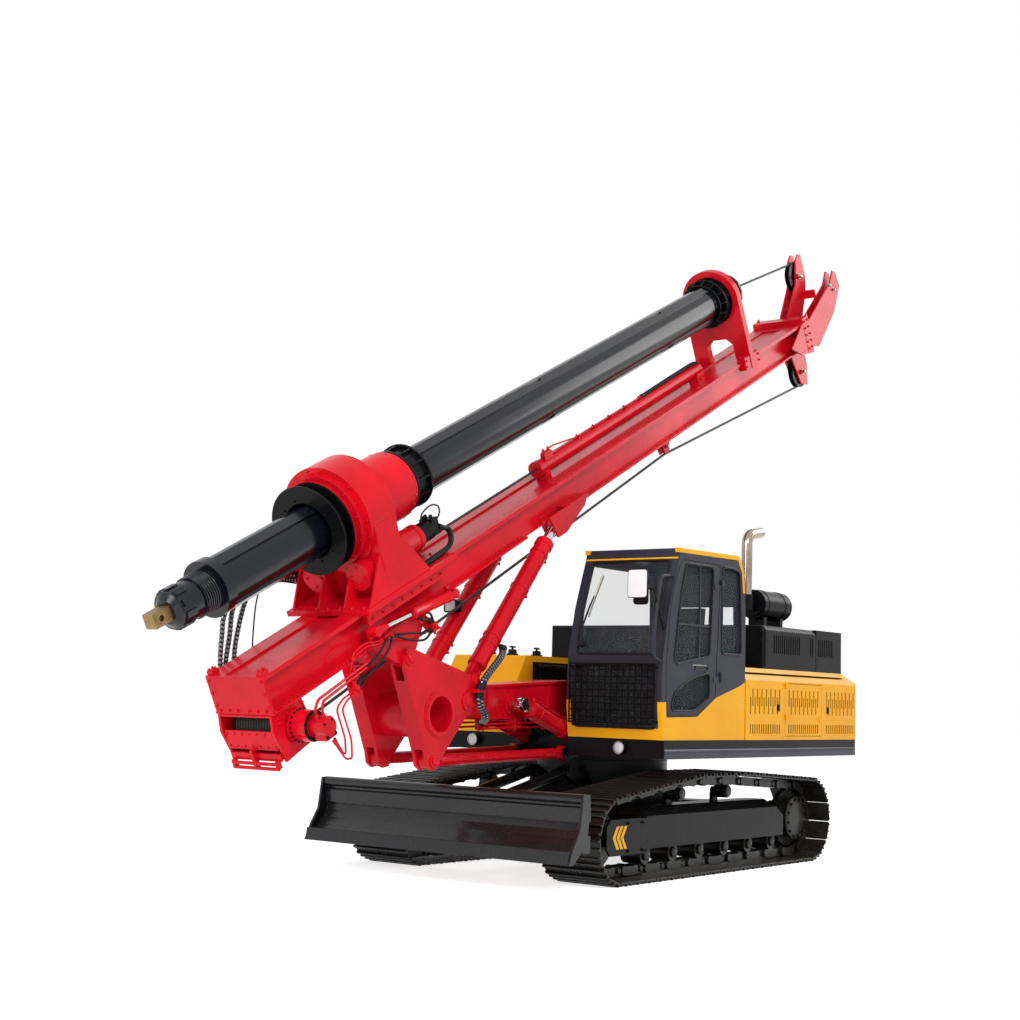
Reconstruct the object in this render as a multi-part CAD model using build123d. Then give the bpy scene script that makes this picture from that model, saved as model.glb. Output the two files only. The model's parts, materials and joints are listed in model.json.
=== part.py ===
"""Rotary piling rig: a tracked base machine with a cab, a boom linkage, a leaning mast and a drill bar.

Millimetres. X runs forward, Y to the left (the cab side) and Z up from the ground.
Every piece is drawn about the slewing axis, then moved by half the overall length.
Pieces of the mast are drawn in its own frame: s up the mast, w to the right, t out of its front face.
"""
import math
import os

from build123d import *

os.makedirs("parts", exist_ok=True)

# Where the slewing axis stands behind the middle of the overall length
slew_back = 612.03
# Gap between pieces that move past each other
clearance = 8.0
# Gap between a pin and its bore, and between a shoe and the rail it slides on
pin_gap = 0.05

# Tracks
track_gauge = 2164.0
shoe_width = 634.0
shoe_count = 50
shoe_plate = 14.0
grouser_height = 26.0
link_height = 92.0
link_gap = 1.5
link_band_width = 190.0
idler_x = 1770.0
idler_z = 384.0
idler_radius = 252.0
sprocket_x = -1790.0
sprocket_z = 424.0
sprocket_radius = 292.0
wheel_width = 90.0
roller_radius = 84.0
roller_width = 210.0
roller_count = 6
roller_first_x = 1080.0
roller_pitch = 475.0
carrier_radius = 65.0
carrier_z = 730.0
carrier_xs = (400.0, -470.0)

# Undercarriage frame
side_frame_width = 330.0
side_frame_low = 275.0
side_frame_high = 560.0
side_frame_ridge = 630.0
side_frame_front = 1300.0
side_frame_rear = -1444.0
guard_front = 1890.0
guard_low = 250.0
guard_high = 556.0
guard_width = 416.0
cross_low = 440.0
cross_high = 800.0
cross_half_length = 640.0
ring_radius = 640.0
ring_step = 560.0
ring_top = 1000.0
deck_low = 1062.0

# Blade
blade_half = 1456.0
blade_low = 256.0
blade_high = 742.0
blade_bottom_x = 2660.0
blade_belly = 130.0
blade_plate = 26.0
blade_bar_radius = 42.0
blade_pivot_x = 760.0
blade_pivot_z = 560.0
blade_arm_y = 470.0
blade_arm_width = 110.0
blade_pin_radius = 32.0
blade_cyl_y = 180.0
blade_cyl_foot = (900.0, 900.0)
blade_cyl_eye = (2200.0, 620.0)
blade_cyl_radius = 48.0
blade_rod_radius = 26.0
blade_cyl_pin = 22.0

# Upper structure
body_half = 1412.0
skirt_high = 1229.0
body_high = 1924.0
body_chamfer = 120.0
tail_x = -2854.0
tail_corner = 80.0
tail_skirt = 44.0
hood_high = 2363.0
hood_half = 1300.0
hood_rear = -2700.0
hood_front = -900.0
hood_round = 70.0
cab_front_x = 1167.0
cab_rear_x = -315.0
cab_inner_y = 386.0
cab_post = 58.0
cab_skin = 46.0
tank_inner_y = -520.0
tank_front_x = 800.0
tank_rear_x = -620.0
tank_high = 1985.0
deck_front_x = 860.0
bay_skin = 45.0
door_x = (-1954.0, -1142.0)
door_thick = 30.0
door_lip = 18.0
hood_split = -2045.0
hinge_knuckle = 12.0
cab_door_axis_x = 175.0
cab_door_axis_out = 12.0
muffler_radius = 152.0
muffler_rise = 238.0
stack_radius = 56.0
stack_top = 3338.0
# Pressed slots of the side panels: rows by their lowest and highest edge and their start in the pitch
slot_width = 24.0
slot_depth = 8.0
slot_rows = ((1555.0, 1721.0, 0.0), (1479.0, 1645.0, 0.5))
slot_pitch = 92.0
low_slot_pitch = 46.0
low_slot_row = (1288.0, 1380.0)
slot_panels = ((-1035.0, -395.0), (-1885.0, -1192.0), (-2732.0, -2040.0))
hood_slot_groups = ((-1671.0, -1036.0), (-2438.0, -1886.0))
hood_slot_row = (2085.0, 2267.0)

# Linkage: boom, tie rods, bracket; (x, z) about the slewing axis
boom_foot = (650.0, 1570.0)
boom_tip = (2620.0, 1520.0)
tie_offset = (430.0, -500.0)
boom_half = 160.0
boom_depth = 300.0
boom_flange = 190.0
boom_pin_radius = 45.0
boom_eye_radius = 105.0
tie_radius = 50.0
tie_eye_radius = 68.0
tie_pin_radius = 30.0
tie_y = 265.0
lug_slot = 84.0
luff_foot = (860.0, 1200.0)
luff_eye = (1790.0, 1510.0)
luff_y = 290.0
luff_radius = 76.0
luff_rod_radius = 45.0
luff_pin_radius = 35.0
bracket_outer = 340.0
bracket_inner = 190.0
bracket_hole_radius = 150.0
bracket_tube_radius = 185.0
mast_hinge = (3400.0, 1860.0)
mast_pin_radius = 38.0
mast_lug_width = 80.0
tilt_foot = (2530.0, 1700.0)
tilt_eye = (1306.0, 3161.0)
tilt_y = 265.0
tilt_radius = 80.0
tilt_rod_radius = 45.0
tilt_pin_radius = 36.0
tilt_barrel_length = 1700.0

# Mast: its axis is the drill bar's own axis, s = 0 at the bar's lower end
axis_foot = (5272.7, 2327.6)
mast_angle = 27.1
mast_low = -100.0
mast_high = 9750.0
mast_half = 205.0
mast_deep = -1000.0
mast_face = -742.0
rail_half = 300.0
rail_front = -706.0

# Drill bar
bar_radius = 203.0
bar_bore = 176.0
bar_low = 0.0
bar_high = 8560.0
bar_rib_height = 16.0
bar_rib_width = 96.0
inner_radius = 150.0
inner_high = 8510.0
end_ring_radius = 226.0
spring_radius = 165.0
spring_turns = 6
spring_length = 160.0
spring_wire = 10.0
spring_core = 124.0
head_radius = 150.0
head_low = -474.0
stub_side = 112.0
stub_low = -677.0
stub_bore_radius = 22.0

# Rotary drive
drive_front = 1270.0
drive_rear = 1650.0
drive_sleeve_rear = 2180.0
drive_radius = 450.0
drive_boss_radius = 400.0
drive_neck_radius = 300.0
drive_foot_half = 430.0
drive_base_top = -660.0
drive_base_low = -830.0
drive_base_front = 1030.0
drive_base_rear = 2245.0
sleeve_bore = 228.0
sleeve_radius = 248.0
flange_radius = 284.0
shield_radius = 360.0
motor_y = 235.0
motor_t = -430.0
crowd_t = -596.0
crowd_radius = 72.0
crowd_rod_radius = 12.0
crowd_gland = 4200.0
crowd_end = 7530.0

# Guide frame
guide_s = 8150.0
guide_plate = 90.0
guide_radius = 345.0
guide_foot_half = 350.0
guide_window_half = 165.0

# Mast head
head_sheave = (10300.0, -260.0)
rear_sheave = (9870.0, -1350.0)
sheave_radius = 185.0
sheave_width = 60.0
drum_radius = 130.0
drum_flange = 162.0
drum_s = 110.0
drum_t = -1198.0


def box(x0, x1, y0, y1, z0, z1):
    """A block between six planes."""
    block = Box(x1 - x0, y1 - y0, z1 - z0)
    return Pos((x0 + x1) / 2, (y0 + y1) / 2, (z0 + z1) / 2) * block


def bar_x(radius, x0, x1, y, z):
    """A round bar along X."""
    return Pos((x0 + x1) / 2, y, z) * Rot(0, 90, 0) * Cylinder(radius, x1 - x0)


def bar_y(radius, y0, y1, x, z):
    """A round bar along Y."""
    return Pos(x, (y0 + y1) / 2, z) * Rot(90, 0, 0) * Cylinder(radius, y1 - y0)


def bar_z(radius, z0, z1, x, y):
    """A round bar along Z."""
    return Pos(x, y, (z0 + z1) / 2) * Cylinder(radius, z1 - z0)


def plate(points, y0, y1):
    """A plate whose outline is given in X and Z, between two planes of Y."""
    face = make_face(Polyline([(x, 0, z) for x, z in points], close=True))
    return Pos(0, y0, 0) * extrude(face, y1 - y0, dir=(0, 1, 0))


def column(points, z0, z1):
    """A column whose outline is given in X and Y, between two heights."""
    face = make_face(Polyline([(x, y, 0) for x, y in points], close=True))
    return Pos(0, 0, z0) * extrude(face, z1 - z0, dir=(0, 0, 1))


def wall(points, x0, x1):
    """A plate whose outline is given in Y and Z, between two planes of X."""
    face = make_face(Polyline([(0, y, z) for y, z in points], close=True))
    return Pos(x0, 0, 0) * extrude(face, x1 - x0, dir=(1, 0, 0))


def bar_between(radius, start, end, y):
    """A round bar between two points given in X and Z."""
    dx, dz = end[0] - start[0], end[1] - start[1]
    length = math.hypot(dx, dz)
    turn = math.degrees(math.atan2(dx, dz))
    return Pos(start[0], y, start[1]) * Rot(0, turn, 0) * Pos(0, 0, length / 2) * Cylinder(radius, length)


def strut(radius, start, end):
    """A round bar between two points in space."""
    way = Vector(*end) - Vector(*start)
    return Plane(origin=start, z_dir=way).location * Pos(0, 0, way.length / 2) * Cylinder(radius, way.length)


def along(start, end, distance):
    """The point at a distance from start towards end."""
    length = math.hypot(end[0] - start[0], end[1] - start[1])
    return tuple(a + (b - a) * distance / length for a, b in zip(start, end))


def span(start, end):
    return math.hypot(end[0] - start[0], end[1] - start[1])


def both_sides(make, y):
    """The same piece at +y and at -y."""
    return make(y) + make(-y)


def mirror_pair(shape):
    return shape + mirror(shape, about=Plane.XZ)


def on_mast(shape):
    """Moves a piece from the mast's own frame to where it stands."""
    turn = math.radians(mast_angle)
    up = (-math.cos(turn), 0, math.sin(turn))
    out = (math.sin(turn), 0, math.cos(turn))
    frame = Plane(origin=(axis_foot[0], 0, axis_foot[1]), x_dir=up, z_dir=out)
    return frame.location * shape


def mast_frame(point):
    """The mast coordinates s and t of a point given in X and Z."""
    turn = math.radians(mast_angle)
    dx, dz = point[0] - axis_foot[0], point[1] - axis_foot[1]
    return -dx * math.cos(turn) + dz * math.sin(turn), dx * math.sin(turn) + dz * math.cos(turn)


nodes = {}


def keep(name, shape):
    nodes[name] = shape


# Track loops: plates, grousers and the link band under them, in one outline
def belt(offset, steps=10):
    """The loop around sprocket, idler and carrier rollers at a distance outside them."""
    wheels = [(sprocket_x, sprocket_z, sprocket_radius), (carrier_xs[1], carrier_z, carrier_radius),
              (carrier_xs[0], carrier_z, carrier_radius), (idler_x, idler_z, idler_radius)]
    points = []
    for i, (x, z, r) in enumerate(wheels):
        before, after = wheels[i - 1], wheels[(i + 1) % len(wheels)]
        angles = []
        for (ax, az, ar), (bx, bz, br) in ((before, (x, z, r)), ((x, z, r), after)):
            lean = math.atan2(bz - az, bx - ax)
            angles.append(lean + math.pi / 2 + math.asin((br - ar) / math.hypot(bx - ax, bz - az)))
        start, stop = angles
        while stop > start:
            stop -= 2 * math.pi
        count = max(2, int(steps * (start - stop) / 2) + 2)
        for k in range(count):
            a = start + (stop - start) * k / (count - 1)
            points.append((x + (r + offset) * math.cos(a), z + (r + offset) * math.sin(a)))
    return points


def walk(points, distances):
    """Points and outward directions at distances along a closed path."""
    out, i, done = [], 0, 0.0
    closed = points + points[:1]
    for d in distances:
        while done + math.dist(closed[i], closed[i + 1]) < d:
            done += math.dist(closed[i], closed[i + 1])
            i += 1
        (ax, az), (bx, bz) = closed[i], closed[i + 1]
        length = math.dist((ax, az), (bx, bz))
        f = (d - done) / length
        out.append(((ax + (bx - ax) * f, az + (bz - az) * f), (-(bz - az) / length, (bx - ax) / length)))
    return out


def track_loop(side):
    y = side * track_gauge / 2
    path = belt(link_height)
    total = sum(math.dist(a, b) for a, b in zip(path, path[1:] + path[:1]))
    pitch = total / shoe_count
    shape = [(0.02, 0.0), (0.03, 1.0), (0.40, 1.0), (0.42, 2.0), (0.52, 2.0), (0.54, 1.0), (0.92, 1.0),
             (0.93, 0.0)]
    height = {0.0: -2.0, 1.0: shoe_plate, 2.0: shoe_plate + grouser_height}
    marks = [((i + f) * pitch, height[h]) for i in range(shoe_count) for f, h in shape]
    spots = walk(path, [m[0] for m in marks])
    outline = [(p[0] + n[0] * h, p[1] + n[1] * h) for (p, n), (_, h) in zip(spots, marks)]
    plates = plate(outline, y - shoe_width / 2, y + shoe_width / 2)
    plates -= plate(belt(link_height - 10.0), y - shoe_width / 2 - 1, y + shoe_width / 2 + 1)
    links = plate(belt(link_height - 9.0), y - link_band_width / 2, y + link_band_width / 2)
    links -= plate(belt(link_gap), y - link_band_width / 2 - 1, y + link_band_width / 2 + 1)
    return plates + links


for name, side in (("track_left", 1), ("track_right", -1)):
    keep(name, track_loop(side))


# Wheels inside the tracks
def wheels(side):
    y = side * track_gauge / 2
    idler = bar_y(idler_radius, y - wheel_width / 2, y + wheel_width / 2, idler_x, idler_z)
    idler += bar_y(70.0, y - 110, y + 110, idler_x, idler_z)
    sprocket = bar_y(sprocket_radius - 12.0, y - 30, y + 30, sprocket_x, sprocket_z)
    sprocket += bar_y(190.0, y - 100, y + 100, sprocket_x, sprocket_z)
    for k in range(21):
        a = 2 * math.pi * k / 21
        tooth = Pos(sprocket_x + (sprocket_radius - 12) * math.cos(a), y,
                    sprocket_z + (sprocket_radius - 12) * math.sin(a))
        sprocket += tooth * Rot(90, 0, 0) * Cylinder(11.0, 60)
    rollers = []
    for k in range(roller_count):
        x = roller_first_x - k * roller_pitch
        z = grouser_height + shoe_plate + link_height + roller_radius - link_gap
        rollers.append(bar_y(roller_radius, y - roller_width / 2, y + roller_width / 2, x, z))
    for x in carrier_xs:
        rollers.append(bar_y(carrier_radius, y - 60, y + 60, x, carrier_z))
    return idler, sprocket, rollers


idlers, sprockets, roller_set = [], [], []
for side in (1, -1):
    one, two, three = wheels(side)
    idlers.append(one)
    sprockets.append(two)
    roller_set += three
keep("track_wheels", Compound(children=idlers + sprockets + roller_set))


# Undercarriage frame: side frames, guards, cross frame and the lower half of the slewing ring
def side_frame(side):
    y = side * track_gauge / 2
    half = side_frame_width / 2
    outer = [(side_frame_front, side_frame_low), (side_frame_front, side_frame_high - 90),
             (side_frame_front - 160, side_frame_high), (side_frame_rear + 160, side_frame_high),
             (side_frame_rear, side_frame_high - 90), (side_frame_rear, side_frame_low)]
    frame = plate(outer, y - half, y + half)
    inner = -side
    ridge = [(y + side * half, side_frame_high - 30), (y + side * (half - 4), side_frame_high - 2),
             (y + side * 30, side_frame_ridge), (y + inner * half, side_frame_ridge),
             (y + inner * half, side_frame_high - 30)]
    frame += wall(ridge, side_frame_rear + 160, side_frame_front - 160)
    for k in range(roller_count):
        x = roller_first_x - k * roller_pitch
        z = grouser_height + shoe_plate + link_height + roller_radius - link_gap
        frame -= bar_y(roller_radius + clearance, y - roller_width / 2 - 6, y + roller_width / 2 + 6, x, z)
    for x in carrier_xs:
        frame += box(x - 45, x + 45, y - 110, y - 70, side_frame_high - 25, carrier_z - 20)
        frame += bar_y(38.0, y - 110, y - 60, x, carrier_z)
    # the two arms that hold the idler and the sprocket's case
    for sign in (1, -1):
        a, b = sorted((y + sign * (half - 40), y + sign * (wheel_width / 2 + clearance + 4)))
        frame += box(side_frame_front - 20, idler_x - 10, a, b, 318, 450)
        frame -= bar_y(71.0, y - 200, y + 200, idler_x, idler_z)
    a, b = sorted((y + inner * (half - 8), y + inner * 60))
    frame += box(sprocket_x - 100, side_frame_rear + 20, a, b, 300, 548)
    frame -= bar_y(191.0, y - 101, y + 101, sprocket_x, sprocket_z)
    frame += bar_y(165.0, *sorted((y + inner * 101.5, y + inner * half)), sprocket_x, sprocket_z)
    return frame


def guard(side):
    y = side * track_gauge / 2
    outer = y + side * guard_width / 2
    a, b = sorted((outer, outer + side * 18))
    cover = plate([(side_frame_front - 10, guard_low), (side_frame_front - 10, guard_high),
                   (guard_front - 60, guard_high), (guard_front, guard_high - 60),
                   (guard_front, guard_low + 60), (guard_front - 60, guard_low)], a, b)
    c, d = sorted((y + side * (side_frame_width / 2 - 40), outer + side * 1))
    cover += box(side_frame_front + 60, side_frame_front + 180, c, d, 300, 460)
    e, f = sorted((y + side * (side_frame_width / 2 - 20), outer + side * 1))
    cover += box(side_frame_front - 10, guard_front - 62, e, f, guard_high - 16, guard_high)
    return cover


def cross_frame():
    inner = track_gauge / 2 - side_frame_width / 2 + 5
    body = column([(cross_half_length, 420), (cross_half_length, -420), (420, -560), (-420, -560),
                   (-cross_half_length, -420), (-cross_half_length, 420), (-420, 560), (420, 560)],
                  cross_low, cross_high)
    for side in (1, -1):
        for front in (1, -1):
            leg = [(front * 300, side * 400), (front * 620, side * 400),
                   (front * 900, side * inner), (front * 560, side * inner)]
            body += column(leg, cross_low + 20, side_frame_ridge - 10)
    body += bar_z(ring_step, cross_high - 5, ring_top - 110, 0, 0)
    body += bar_z(ring_radius, ring_top - 110, ring_top, 0, 0)
    for y in (blade_arm_y, -blade_arm_y):
        for d in (-1, 1):
            mid = y + d * (blade_arm_width / 2 + clearance + 14)
            lug = plate([(560, 480), (760, 470), (840, 520), (840, 600), (760, 650), (560, 660)],
                        mid - 14, mid + 14)
            body += lug
    for y in (blade_cyl_y, -blade_cyl_y):
        x, z = blade_cyl_foot
        for d in (-1, 1):
            mid = y + d * (38 + 6)
            body += plate([(560, 700), (x, z - 55), (x + 45, z), (x, z + 45), (560, 800)], mid - 6, mid + 6)
    return body


blade_pins = []
for y in (blade_arm_y, -blade_arm_y):
    half = blade_arm_width / 2 + clearance + 28
    blade_pins.append((blade_pin_radius, y - half - 6, y + half + 6, blade_pivot_x, blade_pivot_z))
for y in (blade_cyl_y, -blade_cyl_y):
    blade_pins.append((blade_cyl_pin, y - 56, y + 56, *blade_cyl_foot))
frame = side_frame(1) + side_frame(-1) + cross_frame()
for pin in blade_pins:
    frame += bar_y(*pin)
keep("track_frame", frame + guard(1) + guard(-1))


# Blade
def blade():
    top, low, foot = blade_high, blade_low, blade_bottom_x
    lean = -230.0
    front, back = [], []
    for k in range(9):
        f = k / 8
        x = foot + lean * f - blade_belly * math.sin(math.pi * f)
        z = low + (top - low) * f
        front.append((x, z))
        back.append((x - blade_plate, z))
    shape = plate(front + back[::-1], -blade_half + 14, blade_half - 14)
    shape += bar_y(blade_bar_radius, -blade_half + 14, blade_half - 14, foot + lean - 8, top + 14)
    edge = [(foot - 24, low - 20), (foot + 6, low - 20), (foot - 8, low + 90), (foot - 42, low + 90)]
    shape += plate(edge, -blade_half + 14, blade_half - 14)
    end = [(foot + 6, low - 20), (foot - 60, low - 20), (foot - 250, low + 140), (foot - 290, top - 60),
           (foot - 285, top + 50), (foot - 190, top + 50), (foot - 150, low + 260), (foot - 60, low + 120)]
    for y in (-blade_half, blade_half - 24):
        shape += plate(end, y, y + 24)
    # stiffening channel behind the belly
    back_x = foot + lean / 2 - blade_belly - blade_plate
    for z0, z1 in ((low + 60, low + 200), (top - 170, top - 60)):
        shape += box(back_x - 70, back_x + 40, -blade_half + 30, blade_half - 30, z0, z1)
    return shape


blade_body = blade()
arm_end = (blade_bottom_x - 290, 450.0)


def blade_arm(y):
    half = blade_arm_width / 2
    pivot = (blade_pivot_x, blade_pivot_z)
    outline = [(pivot[0] - 60, pivot[1] - 55), (pivot[0] + 120, pivot[1] - 80), (arm_end[0], arm_end[1] - 90),
               (arm_end[0], arm_end[1] + 90), (pivot[0] + 120, pivot[1] + 80), (pivot[0] - 60, pivot[1] + 55)]
    return plate(outline, y - half, y + half) - bar_y(blade_pin_radius + pin_gap, y - half - 1,
                                                      y + half + 1, *pivot)


arms = both_sides(blade_arm, blade_arm_y)
arms += box(arm_end[0] - 240, arm_end[0] - 80, -blade_arm_y, blade_arm_y, 400, 520)
for y in (blade_cyl_y, -blade_cyl_y):
    x, z = blade_cyl_eye
    for d in (-1, 1):
        mid = y + d * (30 + 22)
        arms += plate([(x - 65, 505), (x - 52, z + 20), (x - 20, z + 46), (x + 22, z + 46),
                       (x + 54, z + 16), (x + 75, 505)], mid - 9, mid + 9)
keep("blade", blade_body)
keep("blade_arms", arms - blade_body)

def cylinder(foot, eye, y, radius, rod_radius, barrel, eye_width, pin_radius, eye_radius, neck_length,
             rod_tail):
    """A hydraulic cylinder between two pins: barrel with its foot eye, and rod with its own eye and pin."""
    length = span(foot, eye)
    gland = along(foot, eye, barrel)
    neck = along(foot, eye, eye_radius * 0.5), along(foot, eye, neck_length + 10)
    body = bar_between(radius, along(foot, eye, neck_length), gland, y)
    stem = bar_between(radius * 0.85, *neck, y)
    body += stem & box(-9000, 9000, y - eye_width / 2, y + eye_width / 2, -9000, 9000)
    body += bar_y(eye_radius, y - eye_width / 2, y + eye_width / 2, *foot)
    body += bar_between(radius + 7, along(foot, eye, barrel - 70), along(foot, eye, barrel - 12), y)
    body += bar_between(radius + 5, along(foot, eye, neck_length + 15), along(foot, eye, neck_length + 50), y)
    bore = bar_between(rod_radius + pin_gap, along(foot, eye, neck_length + 25),
                       along(foot, eye, barrel + 5), y)
    body -= bore
    body -= bar_y(pin_radius + pin_gap, y - eye_width, y + eye_width, *foot)
    rod = bar_between(rod_radius, along(foot, eye, rod_tail), along(foot, eye, length - eye_radius * 0.6), y)
    rod += bar_y(eye_radius, y - eye_width / 2, y + eye_width / 2, *eye)
    return body, rod


barrels, rods = [], []
for y in (blade_cyl_y, -blade_cyl_y):
    barrel_one, rod_one = cylinder(blade_cyl_foot, blade_cyl_eye, y, blade_cyl_radius, blade_rod_radius,
                                   1080.0, 60.0, blade_cyl_pin, 48.0, 60.0, 400.0)
    rod_one += bar_y(blade_cyl_pin, y - 38, y + 38, *blade_cyl_eye)
    barrels.append(barrel_one)
    rods.append(rod_one)
keep("blade_cylinder_barrels", Compound(children=barrels))
keep("blade_cylinder_rods", Compound(children=rods))


# Upper structure: deck with the boom's and cylinders' lugs
def lugs(x, z, y, gap, thick, base, radius, pin_radius):
    """Two lug plates with their pin at (x, z), standing on a foot line given by two points."""
    out = None
    (ax, az), (bx, bz) = base
    for d in (-1, 1):
        mid = y + d * (gap / 2 + thick / 2)
        lean = math.atan2(z - (az + bz) / 2, x - (ax + bx) / 2)
        side = (math.cos(lean + math.pi / 2) * radius, math.sin(lean + math.pi / 2) * radius)
        outline = [(ax, az), (bx, bz), (x + side[0], z + side[1]), (x - side[0], z - side[1])]
        cross = (bx - ax) * side[1] - (bz - az) * side[0]
        dot = (bx - ax) * side[0] + (bz - az) * side[1]
        if dot < 0:
            outline = [(ax, az), (bx, bz), (x - side[0], z - side[1]), (x + side[0], z + side[1])]
        one = plate(outline, mid - thick / 2, mid + thick / 2)
        one += bar_y(radius, mid - thick / 2, mid + thick / 2, x, z)
        out = one if out is None else out + one
    pin = bar_y(pin_radius, y - gap / 2 - thick - 12, y + gap / 2 + thick + 12, x, z)
    return out + pin


deck_outline = [(cab_front_x, body_half), (cab_front_x, cab_inner_y), (deck_front_x, cab_inner_y),
                (deck_front_x, tank_inner_y), (tank_front_x, tank_inner_y), (tank_front_x, -body_half),
                (tail_x + tail_corner, -body_half), (tail_x - tail_skirt, -body_half + tail_corner),
                (tail_x - tail_skirt, body_half - tail_corner), (tail_x + tail_corner, body_half)]
deck = column(deck_outline, deck_low, skirt_high)
deck += bar_z(ring_step + 40, ring_top, deck_low + 5, 0, 0)
tie_foot = (boom_foot[0] + tie_offset[0], boom_foot[1] + tie_offset[1])
foot_gap = 2 * boom_half + 2 * clearance
foot_base = ((boom_foot[0] - 330, skirt_high - 5), (boom_foot[0] + 200, skirt_high - 5))
deck += lugs(*boom_foot, 0.0, foot_gap, 28.0, foot_base, 120.0, boom_pin_radius)
for y in (tie_y, -tie_y):
    base = ((deck_front_x - 20, deck_low + 4), (deck_front_x - 20, tie_foot[1] + 60))
    deck += lugs(*tie_foot, y, lug_slot, 30.0, base, tie_eye_radius - 4, tie_pin_radius)
for y in (luff_y, -luff_y):
    deck -= box(luff_foot[0] - 80, deck_front_x + 1, y - 38, y + 38, luff_foot[1] - 90, skirt_high + 1)
for y in (luff_y, -luff_y):
    base = ((luff_foot[0] - 150, skirt_high - 5), (luff_foot[0] - 5, skirt_high - 5))
    deck += lugs(*luff_foot, y, 76.0, 24.0, base, 60.0, luff_pin_radius)
keep("upper_deck", deck)
lamps = []
for x, y in ((cab_front_x, 975.0), (tank_front_x, -968.0)):
    lamp = bar_x(52.0, x, x + 34, y, 1150.0) + bar_x(60.0, x + 33, x + 58, y, 1150.0)
    lamps.append(lamp - bar_x(50.0, x + 50, x + 59, y, 1150.0))
keep("deck_lamps", Compound(children=lamps))


# House: yellow shell around the engine, with door and hood openings
door_z = (skirt_high + 40, body_high - body_chamfer - 20)
house_front_x = cab_rear_x - 12
house_rear_x = tail_x + 95


def house_section(half, low, high, chamfer):
    return [(-half, low), (half, low), (half, high - chamfer), (half - chamfer * 0.8, high),
            (-half + chamfer * 0.8, high), (-half, high - chamfer)]


house = wall(house_section(body_half, skirt_high, body_high, body_chamfer), house_rear_x, house_front_x)
house -= box(house_rear_x + 199, house_front_x - bay_skin, -body_half + bay_skin, body_half - bay_skin,
             skirt_high - 1, body_high - bay_skin)
house -= box(hood_rear + 140, hood_front - 100, -hood_half + 120, hood_half - 120,
             body_high - bay_skin - 1, body_high + 1)
gap = 6.0
for (x0, x1), y0, y1, y2, y3 in (
        (door_x, body_half - door_thick, body_half + 1, body_half - bay_skin - 1, body_half - door_thick + 1),
        (door_x, -body_half - 1, -body_half + door_thick, -body_half + door_thick - 1,
         -body_half + bay_skin + 1)):
    house -= box(x0 - gap, x1 + gap, y0, y1, door_z[0] - gap, door_z[1] + gap)
    house -= box(x0 + door_lip, x1 - door_lip, y2, y3, door_z[0] + door_lip, door_z[1] - door_lip)


def pressed_slots(x0, x1):
    """The slots of one side panel, as pieces to cut out of both sides."""
    rows = [(low, high, slot_pitch, start) for low, high, start in slot_rows]
    rows += [(*low_slot_row, low_slot_pitch, 0.0)]
    cuts = []
    for low, high, pitch, start in rows:
        count = int((x1 - x0 - start * pitch - slot_width) / pitch) + 1
        for k in range(count):
            x = x0 + (k + start) * pitch
            for y0, y1 in ((body_half - slot_depth, body_half + 1),
                           (-body_half - 1, -body_half + slot_depth)):
                cuts.append(box(x, x + slot_width, y0, y1, low, high))
    return cuts


weight = column([(tail_x + tail_corner, -body_half), (tail_x + 0.25 * tail_corner,
                                                      -body_half + 0.3 * tail_corner),
                 (tail_x, -body_half + tail_corner), (tail_x, body_half - tail_corner),
                 (tail_x + 0.25 * tail_corner, body_half - 0.3 * tail_corner),
                 (tail_x + tail_corner, body_half),
                 (house_rear_x - 4, body_half), (house_rear_x - 4, -body_half)], skirt_high, body_high)
tail_slope = plate([(tail_x - 1, body_high - body_chamfer), (tail_x + 251, body_high + 1),
                    (tail_x - 1, body_high + 1)],
                   -body_half - 1, body_half + 1)
weight -= tail_slope
house -= tail_slope
slope = wall([(body_half + 1, body_high - body_chamfer), (body_half + 1, body_high + 1),
              (body_half - body_chamfer * 0.8, body_high + 1), (body_half - body_chamfer * 0.8, body_high)],
             tail_x - 1, house_rear_x)
weight -= mirror_pair(slope)
house -= pressed_slots(*slot_panels[0]) + pressed_slots(*slot_panels[2])
keep("house_body", house)
keep("counterweight", weight)

engine = box(-2300.0, -1250.0, -420.0, 420.0, skirt_high, body_high - bay_skin - 60)
keep("engine_block", engine)


def side_door(side):
    """A panel with pressed slots, a pull and two knuckles on the hinge line in front."""
    a, b = sorted((side * (body_half - door_thick), side * body_half))
    door = box(*door_x, a, b, *door_z) - pressed_slots(*slot_panels[1])
    for z in (1430.0, 1740.0):
        door += bar_z(hinge_knuckle, z, z + 50, door_x[1] - 2, side * (body_half + hinge_knuckle + 0.5))
        leaf = sorted((side * (body_half - 1), side * (body_half + 8)))
        door += box(door_x[1] - 40, door_x[1] - 2, *leaf, z, z + 50)
    pull = side * (body_half - 1), side * (body_half + 12)
    return door + box(door_x[0] + 20, door_x[0] + 50, *sorted(pull), 1410, 1470)


keep("side_door_left", side_door(1))
keep("side_door_right", side_door(-1))


# Hood: a fixed front part that carries the exhaust, and a lid behind it
def hood_section(inset):
    """The hood's outline across, with rounded shoulders, moved inwards by a distance."""
    half, high, low = hood_half - inset, hood_high - inset, body_high - (1 if inset else 0)
    with BuildSketch(Plane.YZ) as sketch:
        with Locations((0, (low + high) / 2)):
            Rectangle(2 * half, high - low)
        fillet(sketch.vertices().sort_by(Axis.Z)[-2:], hood_round)
    return sketch.sketch


def hood_shell(x0, x1):
    outer = extrude(hood_section(0), x1 - x0, dir=(1, 0, 0))
    inner = extrude(hood_section(24.0), x1 - x0 - 48, dir=(1, 0, 0))
    return Pos(x0, 0, 0) * outer, Pos(x0 + 24, 0, 0) * inner


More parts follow.
